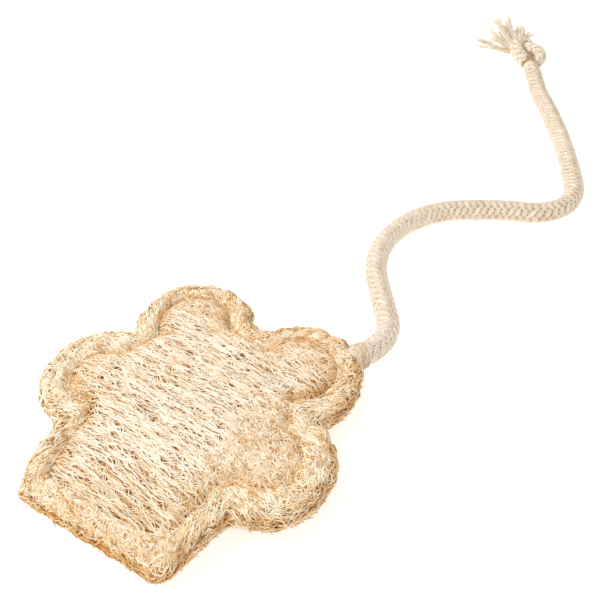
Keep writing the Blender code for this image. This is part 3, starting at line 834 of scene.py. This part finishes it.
def top_fibres(name, seed, count, length, spread, swing, wave, radius, lift, tone, material,
               points, holes, where):
    """Fibres that lie on the upper face; their ends dive into the sewn groove."""
    rng = seeded(seed)
    count = int(count * SHARE)
    tries = 2 * count
    x0, y0 = np.zeros(0), np.zeros(0)
    while len(x0) < count:
        x, y = rng.uniform(-60.0, 60.0, tries), rng.uniform(-60.0, 58.0, tries)
        keep = depth(x, y) > STOP_TO - END_EASING * end_merge(y)
        if where is not None:
            keep &= rng.random(tries) < where(x, y)
        x0, y0 = np.concatenate([x0, x[keep]]), np.concatenate([y0, y[keep]])
    x0, y0 = x0[:count], y0[:count]
    loose = unruly(x0, y0)
    turn = flow(x0, y0) + rng.normal(0.0, 1.0, count) * np.radians(spread * (1.0 + 1.6 * loose))
    lengths = rng.uniform(*length, count) * (1.0 - 0.35 * loose)
    along, across = curled(rng, lengths, points, np.zeros(count), swing, wave)
    x0, y0, turn, loose = x0[:, None], y0[:, None], turn[:, None], loose[:, None]
    across = across * (1.0 + 0.8 * loose)
    x = x0 + along * np.cos(turn) - across * np.sin(turn)
    y = y0 + along * np.sin(turn) + across * np.cos(turn)
    # the run turns slowly over the face
    bend = flow(x, y) - flow(x0, y0)
    run = (x - x0) * np.cos(turn) + (y - y0) * np.sin(turn)
    x, y = x - 0.5 * bend * run * np.sin(turn), y + 0.5 * bend * run * np.cos(turn)
    if holes:
        x, y = opened(x, y)

    # a fibre stops where it first runs past the sewn line: its later points stay put
    inset = depth(x, y)
    slack = 0.35 * loose[:, 0]
    stop = (STOP_FROM - slack) + (STOP_TO - STOP_FROM + slack) * rng.random(count)
    mid = points // 2
    for order in (range(mid + 1, points), range(mid - 1, -1, -1)):
        out = np.zeros(count, bool)
        prev = mid
        for k in order:
            out |= inset[:, k] < np.maximum(stop - END_EASING * end_merge(y[:, k]), 0.2)
            for table in (x, y, inset):
                table[out, k] = table[out, prev]
            prev = k

    z = skin_height(x, y)
    inside = np.maximum(ease(0.75, 1.25, inset), loose)
    z = z + rng.uniform(*lift, count)[:, None] + wander(rng, count, points, (0.8, 2.2), 0.12)
    z = z - (1.0 - inside) * 0.35
    z = z + lumps(np.stack([x, y, z], -1)) * TOP_LUMP
    # painted shade in and near the groove; darker towards the trunk's end, the top lobes and the unruly parts
    end = end_merge(y)
    groove = -0.34 * bell(inset - 1.0, 0.35) - 0.1 * ease(2.2, 1.0, inset)
    shade = groove * (1.0 - 0.5 * loose) * (1.0 - end) - 0.08 * ease(-15.0, -40.0, y)
    shade = shade - 0.06 * end - 0.08 * loose - 0.09 * ease(16.0, 36.0, y)
    radii = rng.uniform(*radius, count)[:, None] * tapered(points, 0.55)
    # stopped ends are thinned and pushed down
    still = np.hypot(np.diff(x, axis=1), np.diff(y, axis=1)) < 1e-6
    moving = np.zeros((count, 1), bool)
    stopped = np.concatenate([moving, still], 1) | np.concatenate([still, moving], 1)
    z = z - np.where(stopped, 0.05 * np.abs(np.arange(points)[None, :] - mid), 0.0)
    radii = radii * np.where(stopped, 0.45, 1.0)
    tones = np.clip(rng.normal(*tone, (count, 1)) + shade, 0.0, 1.0)
    return strands(name, np.stack([x, y, z], -1), radii, UP, material, tones)


def under_fibres(name, seed, count, height, tone, spread):
    """Fibres that lie on the underside; spread is in degrees from X."""
    rng = seeded(seed)
    count = int(count * SHARE)
    points = 10
    x0, y0 = np.zeros(0), np.zeros(0)
    while len(x0) < count:
        x, y = rng.uniform(-60.0, 60.0, count), rng.uniform(-60.0, 56.0, count)
        keep = depth(x, y) > 0.6
        x0, y0 = np.concatenate([x0, x[keep]]), np.concatenate([y0, y[keep]])
    lengths = rng.uniform(10.0, 24.0, count)
    start = rng.normal(0.0, math.radians(spread), count)
    along, across = curled(rng, lengths, points, start, swing=25.0, wave=8.0)
    x, y = x0[:count, None] + along, y0[:count, None] + across
    keep = (depth(x, y) > 0.4).all(1)
    x, y, count = x[keep], y[keep], int(keep.sum())
    z = np.full_like(x, height) + np.abs(wander(rng, count, points, (0.8, 2.0), 0.2))
    radii = rng.uniform(0.2, 0.3, count)[:, None] * tapered(points, 0.5)
    tones = clipped_normal(rng, tone, 0.18, count)
    return strands(name, np.stack([x, y, z], -1), radii, UP, LOOFAH, tones)


# ------------------------------------------------------------------ the pad's pieces

BED_DEPTH, BED_FLOOR = 1.6, 0.9
BED_SHARES = (0.01, 0.08, 0.16, 0.25, 0.34, 0.43, 0.52, 0.61, 0.7, 0.78, 0.85, 0.91, 0.96)


def bed():
    """The pressed layer under the fibres: upper face, rim, then underside."""
    turns = TURNS // 2
    upper, lower = [], []
    for share in BED_SHARES:
        radius = share * GROOVE_R[::2]
        x, y = radius * np.cos(ANGLES[::2]), radius * np.sin(ANGLES[::2])
        upper.append(np.stack([x, y, skin_height(x, y) - BED_DEPTH], -1))
        lower.append(np.stack([x, y, np.full_like(x, BED_FLOOR)], -1))
    rim = WRAP[::2, ::2] - WRAP_NORMALS[::2, ::2] * BED_DEPTH
    grid = np.concatenate([np.stack(upper, 1), rim, np.stack(lower[::-1], 1)], 1)
    grid[..., 2] = np.maximum(grid[..., 2], BED_FLOOR)
    rough = blurred(seeded(5).normal(0.0, 0.5, grid.shape[:2])[..., None], 1, 1)[..., 0]
    rough[:, :3] = 0.0
    rough[:, -3:] = 0.0
    grid[..., 2] = np.maximum(grid[..., 2] + rough * 0.5, 0.7)
    rows = grid.shape[1]
    i, j = np.arange(turns)[:, None], np.arange(rows - 1)[None, :]
    here, after = i * rows + j, (i + 1) % turns * rows + j
    quads = np.stack([here, after, after + 1, here + 1], -1).reshape(-1, 4)
    tone = np.zeros(turns * rows)
    return mesh_object("loofah_bed", grid.reshape(-1, 3), quads, LOOFAH_BED, tone)


# name, seed, count, length, spread (degrees), swing (degrees), wave, radius, lift off the skin,
# tone (mean, spread), material, points, parted by the openings, where they are likely
# the low layers take darker tones and the deep fibre colours, as painted shade under the upper fibres
TOP_LAYERS = (
    ("loofah_top_low", 21, 2600, (8.0, 16.0), 60.0, 30.0, 7.0, (0.2, 0.29), (-1.3, -0.8),
     (0.3, 0.16), LOOFAH_DEEP_SHADED, 9, False, None),
    ("loofah_top_mid", 22, 3900, (6.0, 16.0), 11.0, 17.0, 6.5, (0.18, 0.27), (-0.8, -0.35),
     (0.4, 0.22), LOOFAH, 12, True, None),
    ("loofah_top_high", 23, 2500, (6.0, 17.0), 9.0, 18.0, 6.5, (0.21, 0.32), (-0.3, 0.15),
     (0.74, 0.17), LOOFAH, 14, True, None),
    ("loofah_top_curls", 24, 1500, (5.0, 11.0), 50.0, 50.0, 5.5, (0.22, 0.33), (-0.4, 0.2),
     (0.58, 0.28), LOOFAH, 12, False, unruly),
)
# name, seed, count, span over the rim, length, slant from the edge's direction, swing (degrees),
# wave, radius, lift off the wrap, tone (mean, spread), material, points, sink of both ends,
# rise of the last end
# the low layers take darker tones and the deep fibre colours, as painted shade under the upper fibres
WRAP_LAYERS = (
    ("loofah_rim_low", 31, 3300, (0.0, OVER_FLOOR), (6.0, 12.0), any_way, 40.0, 6.0,
     (0.22, 0.32), (-1.3, -0.9), (0.3, 0.17), LOOFAH_DEEP_SHADED, 10, 0.0, 0.0),
    ("loofah_rim_mid", 32, 3300, (0.0, OVER_FLOOR), (4.0, 10.0), any_way, 70.0, 5.0,
     (0.22, 0.36), (-1.0, -0.45), (0.42, 0.24), LOOFAH_RIM, 12, 0.0, 0.0),
    ("loofah_rim_high", 33, 1900, (0.0, OVER_RIM + 0.12), (3.5, 8.0), mostly_across, 75.0, 4.5,
     (0.24, 0.38), (-0.5, 0.1), (0.74, 0.2), LOOFAH_RIM, 12, 0.3, 0.0),
    ("loofah_bridges", 37, 1300, (0.0, 0.16), (4.0, 10.0), mostly_across, 35.0, 6.0,
     (0.2, 0.3), (-0.4, 0.0), (0.62, 0.2), LOOFAH, 10, 0.4, 0.0),
    ("loofah_groove", 38, 1000, (0.0, 0.13), (3.0, 7.5), any_way, 75.0, 4.5,
     (0.22, 0.34), (-0.6, 0.35), (0.6, 0.3), LOOFAH_RIM, 11, 0.4, 0.0),
    ("loofah_side_layers", 34, 1500, (OVER_RIM, OVER_FLOOR), (4.0, 12.0), mostly_along, 60.0, 5.0,
     (0.24, 0.36), (-0.5, 0.1), (0.62, 0.22), LOOFAH_RIM, 12, 0.3, 0.0),
    ("loofah_fuzz", 35, 1500, (0.05, OVER_FLOOR - 0.03), (1.5, 4.5), any_way, 45.0, 4.0,
     (0.1, 0.2), (-0.5, -0.1), (0.62, 0.2), LOOFAH_RIM, 6, 0.0, 1.5),
    ("loofah_under_rim", 36, 1500, (OVER_FLOOR - 0.05, 1.0), (8.0, 16.0), any_way, 40.0, 6.0,
     (0.2, 0.3), (-0.6, -0.2), (0.4, 0.18), LOOFAH_RIM, 10, 0.0, 0.0),
)

pad_pieces = [bed()]
pad_pieces += [top_fibres(*layer) for layer in TOP_LAYERS]
pad_pieces += [wrap_fibres(*layer) for layer in WRAP_LAYERS]
pad_pieces += [
    under_fibres("loofah_under_low", seed=41, count=3600, height=0.3, tone=0.6, spread=12.0),
    under_fibres("loofah_under_mid", seed=42, count=2600, height=0.7, tone=0.4, spread=60.0),
]
for piece in pad_pieces:
    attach(piece, "pad")
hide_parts("loofah_top_panel")
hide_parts("loofah_bottom_panel")
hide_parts("loofah_core")

# ------------------------------------------------------------------ seam stitches

STITCH_PITCH, STITCH_R = 4.2, 0.24
STITCH_FROM, STITCH_TO = 0.25, 3.6  # ends of a stitch within its pitch


def stitches(name, height):
    """A row of stitches along the sewn line, open at the trunk's end; height(x, y, arch)."""
    angle = np.linspace(np.radians(-56.0), np.radians(236.0), 4000)
    radius = radius_at(angle, 1.0)
    x, y = radius * np.cos(angle), radius * np.sin(angle)
    run = run_along(np.stack([x, y], 1))
    count = int(run[-1] / STITCH_PITCH)
    arch = np.sin(np.linspace(0.0, np.pi, 9))
    paths = []
    for k in range(count):
        at = k * run[-1] / count + np.linspace(STITCH_FROM, STITCH_TO, 9)
        at_x, at_y = np.interp(at, run, x), np.interp(at, run, y)
        paths.append(np.stack([at_x, at_y, height(at_x, at_y, arch)], -1))
    paths = np.array(paths)
    radii = np.full(paths.shape[:2], STITCH_R)
    return strands(name, paths, radii, UP, THREAD, np.full(count, 0.45), sides=6)


def top_stitch_z(x, y, arch):
    return skin_height(x, y) - 0.8 + 0.55 * arch**0.5


def under_stitch_z(x, y, arch):
    return 0.55 - 0.25 * arch


seam_top = stitches("top_seam_stitches", top_stitch_z)
seam_low = stitches("bottom_seam_stitches", under_stitch_z)
for piece, thread in ((seam_top, "top_seam_thread"), (seam_low, "bottom_seam_thread")):
    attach(piece, "pad")
    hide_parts(thread)

# ------------------------------------------------------------------ the rope's line and its turning frame

runs = np.arange(-ROPE_BURIED - 3.0, ROPE_LENGTH - 1.0, 0.4)
line = np.concatenate([[rope_point(run) for run in runs], evenly(soft_knot(), 420)[4:]])
turn_in = slice(len(runs) - 24, len(runs) + 24)  # where the rope runs into the knot
line[turn_in] = smoothed(line[turn_in], 90)
line_run = run_along(line) + runs[0]
ROPE_END = line_run[-1]
RUNS = np.arange(line_run[0], ROPE_END, 0.2)
LINE = smoothed(sampled(RUNS, line_run, line), 12)
TANGENTS = unit(np.gradient(LINE, axis=0))


def carried_normals():
    """Normals carried along the line without twist, from straight up at its start."""
    normals = np.zeros_like(TANGENTS)
    normal = UP
    for k, tangent in enumerate(TANGENTS):
        normal = normal - tangent * (tangent @ normal)
        normal = normal / np.linalg.norm(normal)
        normals[k] = normal
    return normals


NORMALS = carried_normals()
BINORMALS = np.cross(TANGENTS, NORMALS)


def frame_at(run):
    """Centre, tangent, normal and binormal of the rope."""
    return (
        sampled(run, RUNS, LINE),
        unit(sampled(run, RUNS, TANGENTS)),
        unit(sampled(run, RUNS, NORMALS)),
        unit(sampled(run, RUNS, BINORMALS)),
    )


def spoke(angle, normal, binormal):
    """Direction out from the rope's centre."""
    return np.cos(angle)[:, None] * normal + np.sin(angle)[:, None] * binormal


# ------------------------------------------------------------------ rope pieces

CARRIERS = 8  # each way round
PITCH = 27.0  # rope length for one turn of a carrier
BRAID_R, BRAID_LIFT, YARN_R = 4.26, 0.3, 0.42
PLY_ANGLE = 0.235  # between neighbouring yarns of a carrier
CORE_R = 3.6


def squeeze(run):
    """The rope's thickness along it: full on the straight, pressed in the knot."""
    return 1.0 - 0.1 * ease(ROPE_LENGTH - 8.0, ROPE_LENGTH + 4.0, run)


def crease_shade(paths, run):
    """How closely another pass of the rope lies, used as painted shade in the knot's creases: 0 clear, 1 in a
    crease of the knot.
    """
    if run[-1] < ROPE_LENGTH - 12.0:
        return np.zeros(paths.shape[:2])
    k = np.where(RUNS > ROPE_LENGTH - 16.0)[0][::6]
    gap = np.linalg.norm(paths[:, :, None] - LINE[k][None, None], axis=-1)
    same_pass = np.abs(run[:, None] - RUNS[k][None])[None] < 11.0
    return ease(5.5, 4.35, np.where(same_pass, 99.0, gap).min(-1))


def braid(name, start, end):
    """All the carriers' yarns between two distances along the rope, two over two."""
    sides, step = ((6, 0.75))
    points = max(4, int(round((end - start) / step)) + 1)
    run = np.linspace(start, end, points)
    centre, _, normal, binormal = frame_at(run)
    pressed = squeeze(run)
    turn = run / PITCH * CARRIERS
    rng = seeded(77)
    # tone along the rope: darker in the middle stretch and towards the knot; yarns are painted paler where
    # they ride over a crossing and darker where they dive under it, as painted shade, most in the middle
    # stretch and into the knot
    middle_stretch = ease(95.0, 130.0, run) * ease(250.0, 215.0, run)
    base = 0.64 - 0.34 * middle_stretch - 0.11 * ease(238.0, 262.0, run)
    crossing_shade = 0.12 + 0.36 * middle_stretch + 0.26 * ease(ROPE_LENGTH - 6.0, ROPE_LENGTH + 6.0, run)
    paths, radii, tones = [], [], []
    for way in (1, -1):
        for i in range(CARRIERS):
            crossing = 2.0 * i + way * 2.0 * turn
            wave = np.cos(2.0 * np.pi * (crossing - 0.5) / 4.0)
            wave = np.sign(wave) * np.abs(wave) ** 0.6
            for ply in (-1, 0, 1):
                angle = 2.0 * np.pi / CARRIERS * (i + way * turn) + ply * PLY_ANGLE
                radius = (BRAID_R + way * BRAID_LIFT * wave - 0.07 * ply * ply) * pressed
                paths.append(centre + radius[:, None] * spoke(angle, normal, binormal))
                radii.append(YARN_R * pressed * rng.uniform(0.93, 1.05))
                tones.append(base + crossing_shade * way * wave + rng.normal(0.0, 0.1))
    paths = np.array(paths)
    along = np.broadcast_to(run, paths.shape[:2])
    verts, quads, uv = tube_arrays(paths, np.array(radii), sides, unit(centre - paths), along)
    # painted shade: the braid is darkened in the knot's creases, where another pass lies close
    shade = np.clip(np.array(tones) - crease_shade(paths, run), 0.0, 1.0)
    tone = np.broadcast_to(shade[:, :, None], (len(paths), points, sides))
    return mesh_object(name, verts, quads, COTTON, tone, uv)


def rope_core(name, start, end):
    points = max(4, int(round((end - start) / 2.0)) + 1)
    run = np.linspace(start, end, points)
    centre, _, normal, _ = frame_at(run)
    radii = (CORE_R * squeeze(run))[None]
    return strands(name, centre[None], radii, normal, COTTON_CORE_SHADED, np.full(1, 0.5), sides=10)


def rope_fuzz(name, start, end, count, seed):
    """Short loose hairs that stand off the braid."""
    rng = seeded(seed)
    count = int(count * SHARE)
    run = rng.uniform(start + 0.3, end - 0.3, count)
    angle = rng.uniform(0.0, 2.0 * np.pi, count)
    centre, tangent, normal, binormal = frame_at(run)
    out = spoke(angle, normal, binormal)
    side = np.cross(tangent, out)
    root = centre + out * (BRAID_R + 0.5) * squeeze(run)[:, None]
    lean = rng.normal(0.0, 1.0, (count, 1)) * tangent + rng.normal(0.0, 1.0, (count, 1)) * side
    length = rng.uniform(0.8, 2.2, (count, 1))
    t = np.linspace(0.0, 1.0, 5)[:, None]
    hair = out[:, None] * (0.55 * t**0.8) + unit(lean)[:, None] * (0.9 * t**1.3)
    paths = root[:, None] + hair * length[:, None]
    paths[..., 2] = np.maximum(paths[..., 2], 0.08)
    radii = np.full((count, 5), 0.045) * np.array([1.0, 1.0, 0.9, 0.75, 0.4])
    tones = clipped_normal(rng, 0.6, 0.15, count)
    return strands(name, paths, radii, side[:, None], FUZZ, tones, sides=3)


# place along the rope, angle round it (radians), length
FLECKS = ((228.0, 1.2, 0.9), (234.0, 0.7, 1.1), (246.0, 1.4, 0.9), (96.0, 0.4, 0.7),
          (171.0, -0.6, 0.7))


def rope_flecks(name, flecks):
    """Dark flecks on the braid."""
    t = np.linspace(-0.5, 0.5, 5)[:, None]
    paths = []
    for run, angle, length in flecks:
        centre, tangent, normal, binormal = (part[0] for part in frame_at(np.array([run])))
        out = math.cos(angle) * normal + math.sin(angle) * binormal
        way = unit(tangent + 0.6 * np.cross(tangent, out))
        paths.append(centre + out * (BRAID_R + BRAID_LIFT + 0.3) + t * length * way)
    paths = np.array(paths)
    radii = np.broadcast_to(0.2 * np.array((0.5, 0.9, 1.0, 0.9, 0.5)), paths.shape[:2])
    ref = np.array((0.1, 0.3, 0.95))
    return strands(name, paths, radii, ref, SPECK, np.full(len(paths), 0.5), sides=5)


# one segment of rope for each hinge, built between the cuts either side of it
CUTS = [-ROPE_BURIED] + [0.5 * (a + b) for a, b in zip(HINGES, HINGES[1:] + (ROPE_LENGTH,))]
for k, hinge in enumerate(HINGES):
    start, end = CUTS[k], CUTS[k + 1]
    reach = min(12.0, hinge + 0.5, end - hinge - 0.2, hinge - start - 0.2) if k else 6.5
    bend_start, bend_end = rope_point(hinge - reach) * MM, rope_point(hinge + reach) * MM
    hairs = 5.0 * (end - max(start, 0.0))
    made = [
        braid(f"rope_braid_{k + 1}", start, end),
        rope_core(f"rope_inside_{k + 1}", start, end),
        rope_fuzz(f"rope_fuzz_{k + 1}", start, end, hairs, seed=300 + k),
    ]
    flecks = [fleck for fleck in FLECKS if start < fleck[0] < end]
    if flecks:
        made.append(rope_flecks(f"rope_flecks_{k + 1}", flecks))
    for piece in made:
        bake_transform(piece)
    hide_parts(f"rope_segment_{k + 1}")
    if k == 0:
        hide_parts("rope_anchor")

made = [
    braid("knot_braid", CUTS[-1], ROPE_END - 0.3),
    rope_core("knot_inside", CUTS[-1], ROPE_END - 0.3),
    rope_fuzz("knot_fuzz", CUTS[-1], ROPE_END - 1.0, 700, seed=330),
]
for piece in made:
    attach(piece, "rope_end")
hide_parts("rope_knot")

# ------------------------------------------------------------------ the tacking that holds the rope to the pad

# place along the rope, lean along it, radius
TACK_LOOPS = ((0.7, 1.1, 5.05), (1.5, -0.9, 5.1), (2.3, 0.6, 5.0))


def tacking():
    t = np.linspace(0.0, 2.0 * np.pi, 41)
    loops = []
    for k, (place, lean, radius) in enumerate(TACK_LOOPS):
        centre, _, normal, binormal = frame_at(place + lean * np.sin(t + 0.7 * k))
        radius = radius + 0.12 * np.sin(3.0 * t + k)
        loops.append(centre + radius[:, None] * spoke(t, normal, binormal))
    loops = np.array(loops)
    radii = np.full(loops.shape[:2], 0.3)
    ref = unit(np.roll(loops, -5, 1) - loops + 0.013)
    tones = seeded(401).uniform(0.4, 0.6, len(loops))
    return strands("rope_tack_loops", loops, radii, ref, THREAD, tones, sides=6)


tack_thread = tacking()
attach(tack_thread, "pad")
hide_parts("rope_tack_thread")

# ------------------------------------------------------------------ the tassel

YARNS = 10
FAN_LEFT, FAN_RIGHT = -56.0, 26.0  # degrees from the rope's run
LOCK_LIFTS = (14.0, 44.0, 28.0)  # degrees, taken in turn
LOCK_HEIGHTS = (-1.5, 2.6, 0.6)
ROOT = LINE[-1]
ROOT_WAY = unit(TANGENTS[-1])


def tassel_way(side, lift):
    """Direction from angles (radians) to the right of the run and up from it."""
    cos = np.cos(lift)
    return np.stack([np.sin(side) * cos, np.cos(side) * cos, np.sin(lift)], -1) @ KNOT_AXES


def lock(name, k):
    """One frayed yarn: fine fibres in a few wisps that part and bend, each to a soft point."""
    rng = seeded(500 + k)
    share = k / (YARNS - 1)
    side = math.radians(FAN_LEFT + (FAN_RIGHT - FAN_LEFT) * share)
    lift = math.radians(LOCK_LIFTS[k % 3] + rng.uniform(-4.0, 4.0))
    lock_length = 21.5 - 5.0 * ease(0.55, 1.0, share) + rng.uniform(-1.5, 1.5)
    way = tassel_way(side, lift)
    cross = unit(np.cross(way, UP))
    up = np.cross(cross, way)
    root = ROOT + KNOT_AXES[0] * (share - 0.6) * 9.0 + KNOT_AXES[2] * LOCK_HEIGHTS[k % 3]
    count, points, wisps = int(66 * SHARE), 18, 4
    t = np.linspace(0.0, 1.0, points)[None, :]

    # what the fibres of a wisp share
    own = np.arange(count) % wisps
    wisp_length = rng.uniform(0.74, 1.06, wisps)[own, None]
    part = (rng.normal(0.0, 1.0, (wisps, 2)) * np.array((2.6, 1.8)))[own]
    bend = (rng.normal(0.0, 1.0, (wisps, 2)) * np.array((2.4, 1.6)))[own]
    phase = rng.uniform(0.0, 2.0 * np.pi, (wisps, 1))[own]

    # what each fibre has to itself
    angle = rng.uniform(0.0, 2.0 * np.pi, (count, 1))
    out = np.sqrt(rng.random((count, 1)))
    free = np.where(rng.random((count, 1)) < 0.25, 2.4, 0.35)
    length = lock_length * wisp_length * rng.uniform(0.86, 1.04, (count, 1))
    swell = 2.0 - 1.1 * ease(0.05, 0.6, t) - 0.55 * ease(0.6, 1.0, t)
    loose = rng.normal(0.0, 1.0, (count, 2)) * free

    swing = np.sin(2.0 * np.pi * 1.3 * t + phase) * t * 0.7
    sideways = out * swell * np.cos(angle + 1.6 * t)
    sideways = sideways + wander(rng, count, points, (1.0, 3.0), 0.25) * t + part[:, :1] * t
    sideways = sideways + bend[:, :1] * t**2.5 + swing + loose[:, :1] * t**1.8
    upwards = out * swell * 0.8 * np.sin(angle + 1.6 * t)
    upwards = upwards + wander(rng, count, points, (1.0, 3.0), 0.25) * t + part[:, 1:] * t
    upwards = upwards + bend[:, 1:] * t**2.5 + loose[:, 1:] * 0.6 * t**2
    early = 3.5 * (1.0 - t) ** 2  # the root reaches back into the knot
    paths = root + (t * length)[..., None] * way - early[..., None] * ROOT_WAY
    paths = paths + sideways[..., None] * cross + upwards[..., None] * up
    paths[..., 2] = np.maximum(paths[..., 2], 0.4)
    radii = rng.uniform(0.12, 0.21, (count, 1)) * (1.0 - 0.45 * t**3)
    tone = np.clip(rng.normal(0.74, 0.22, (count, 1)) + 0.16 * (t - 0.5), 0.0, 1.0)
    return strands(name, paths, radii, cross, TASSEL, tone)


def strays(name, seed, count):
    """Single thin fibres that stand off the tassel."""
    rng = seeded(seed)
    points = 16
    side = np.radians(rng.uniform(-66.0, 50.0, count))
    lift = np.radians(rng.uniform(0.0, 46.0, count))
    way = tassel_way(side, lift)
    t = np.linspace(0.0, 1.0, points)
    length = rng.uniform(14.0, 24.0, count)
    bend = rng.normal(0.0, 1.0, (count, 3)) * 4.0
    start = ROOT + rng.normal(0.0, 1.6, (count, 3)) - KNOT_AXES[1]
    paths = start[:, None] + way[:, None] * (t[None, :, None] * length[:, None, None])
    paths = paths + bend[:, None] * (t**2)[None, :, None]
    drift = [wander(rng, count, points, (1.0, 2.5), 0.35) * t for _ in range(3)]
    paths = paths + np.stack(drift, -1)
    paths[..., 2] = np.maximum(paths[..., 2], 0.4)
    radii = rng.uniform(0.08, 0.13, count)[:, None] * (1.0 - 0.4 * t[None, :])
    tones = clipped_normal(rng, 0.6, 0.15, count)
    return strands(name, paths, radii, np.array((0.2, 0.1, 0.97)), TASSEL, tones)


# the locks' roots reach back into the knot
for k in range(YARNS):
    piece = lock(f"tassel_lock_{k + 1:02d}", k)
    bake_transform(piece)
    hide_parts(f"tassel_yarn_{k + 1:02d}")

stray = strays("tassel_strays", seed=520, count=26)
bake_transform(stray)

# ------------------------------------------------------------------ camera, light, floor (metres)


def add_camera():
    camera = bpy.data.cameras.new("view")
    camera.lens, camera.sensor_width = 41.4, 36.0
    camera.clip_start, camera.clip_end = 0.01, 10.0
    eye = bpy.data.objects.new("view", camera)
    eye.location = (0.1102, -0.1131, 0.2102)
    eye.rotation_euler = (math.radians(46.0), 0.0, math.radians(30.0))
    bpy.context.scene.collection.objects.link(eye)
    bpy.context.scene.camera = eye


def add_world():
    """A soft light all round, seen by the camera as plain white."""
    world = bpy.data.worlds.new("soft_room")
    bpy.context.scene.world = world
    world.use_nodes = True
    nodes, links = world.node_tree.nodes, world.node_tree.links
    light = nodes["Background"]
    light.inputs["Color"].default_value = (1.0, 0.995, 0.985, 1.0)
    light.inputs["Strength"].default_value = 0.6
    seen = nodes.new("ShaderNodeBackground")
    seen.inputs["Color"].default_value = (1.0, 1.0, 1.0, 1.0)
    path = nodes.new("ShaderNodeLightPath")
    mix = nodes.new("ShaderNodeMixShader")
    links.new(path.outputs["Is Camera Ray"], mix.inputs[0])
    links.new(light.outputs[0], mix.inputs[1])
    links.new(seen.outputs[0], mix.inputs[2])
    links.new(mix.outputs[0], nodes["World Output"].inputs["Surface"])


def area_light(name, place, size, power, colour):
    """A round lamp aimed at the middle of the scene."""
    aim = (0.0, 0.08, 0.0)
    lamp = bpy.data.lights.new(name, "AREA")
    lamp.shape, lamp.size, lamp.energy, lamp.color = "DISK", size, power, colour
    made = bpy.data.objects.new(name, lamp)
    made.location = place
    made.rotation_euler = (Vector(aim) - Vector(place)).to_track_quat("-Z", "Y").to_euler()
    bpy.context.scene.collection.objects.link(made)
    return made


def add_floor():
    material, _, shader = new_material("plain_floor", roughness=0.9)
    shader.inputs["Base Color"].default_value = (0.93, 0.93, 0.93, 1.0)
    shader.inputs["Emission Color"].default_value = (1.0, 1.0, 1.0, 1.0)
    shader.inputs["Emission Strength"].default_value = 0.44
    bpy.ops.mesh.primitive_plane_add(size=60.0, location=(0.0, 0.0, -0.0004))
    made = bpy.context.active_object
    made.name = "floor"
    made.data.materials.append(material)
    return made


add_camera()
add_world()
key = area_light(
    "key", place=(-0.75, -0.2, 0.95), size=0.7, power=10.8, colour=(1.0, 0.995, 0.98)
)
fill = area_light("fill", place=(0.9, -0.5, 0.8), size=0.9, power=3.0, colour=(1.0, 0.98, 0.95))
floor = add_floor()

view = bpy.context.scene.view_settings
view.view_transform = "Standard"
view.look = "None"
view.exposure = 0.0
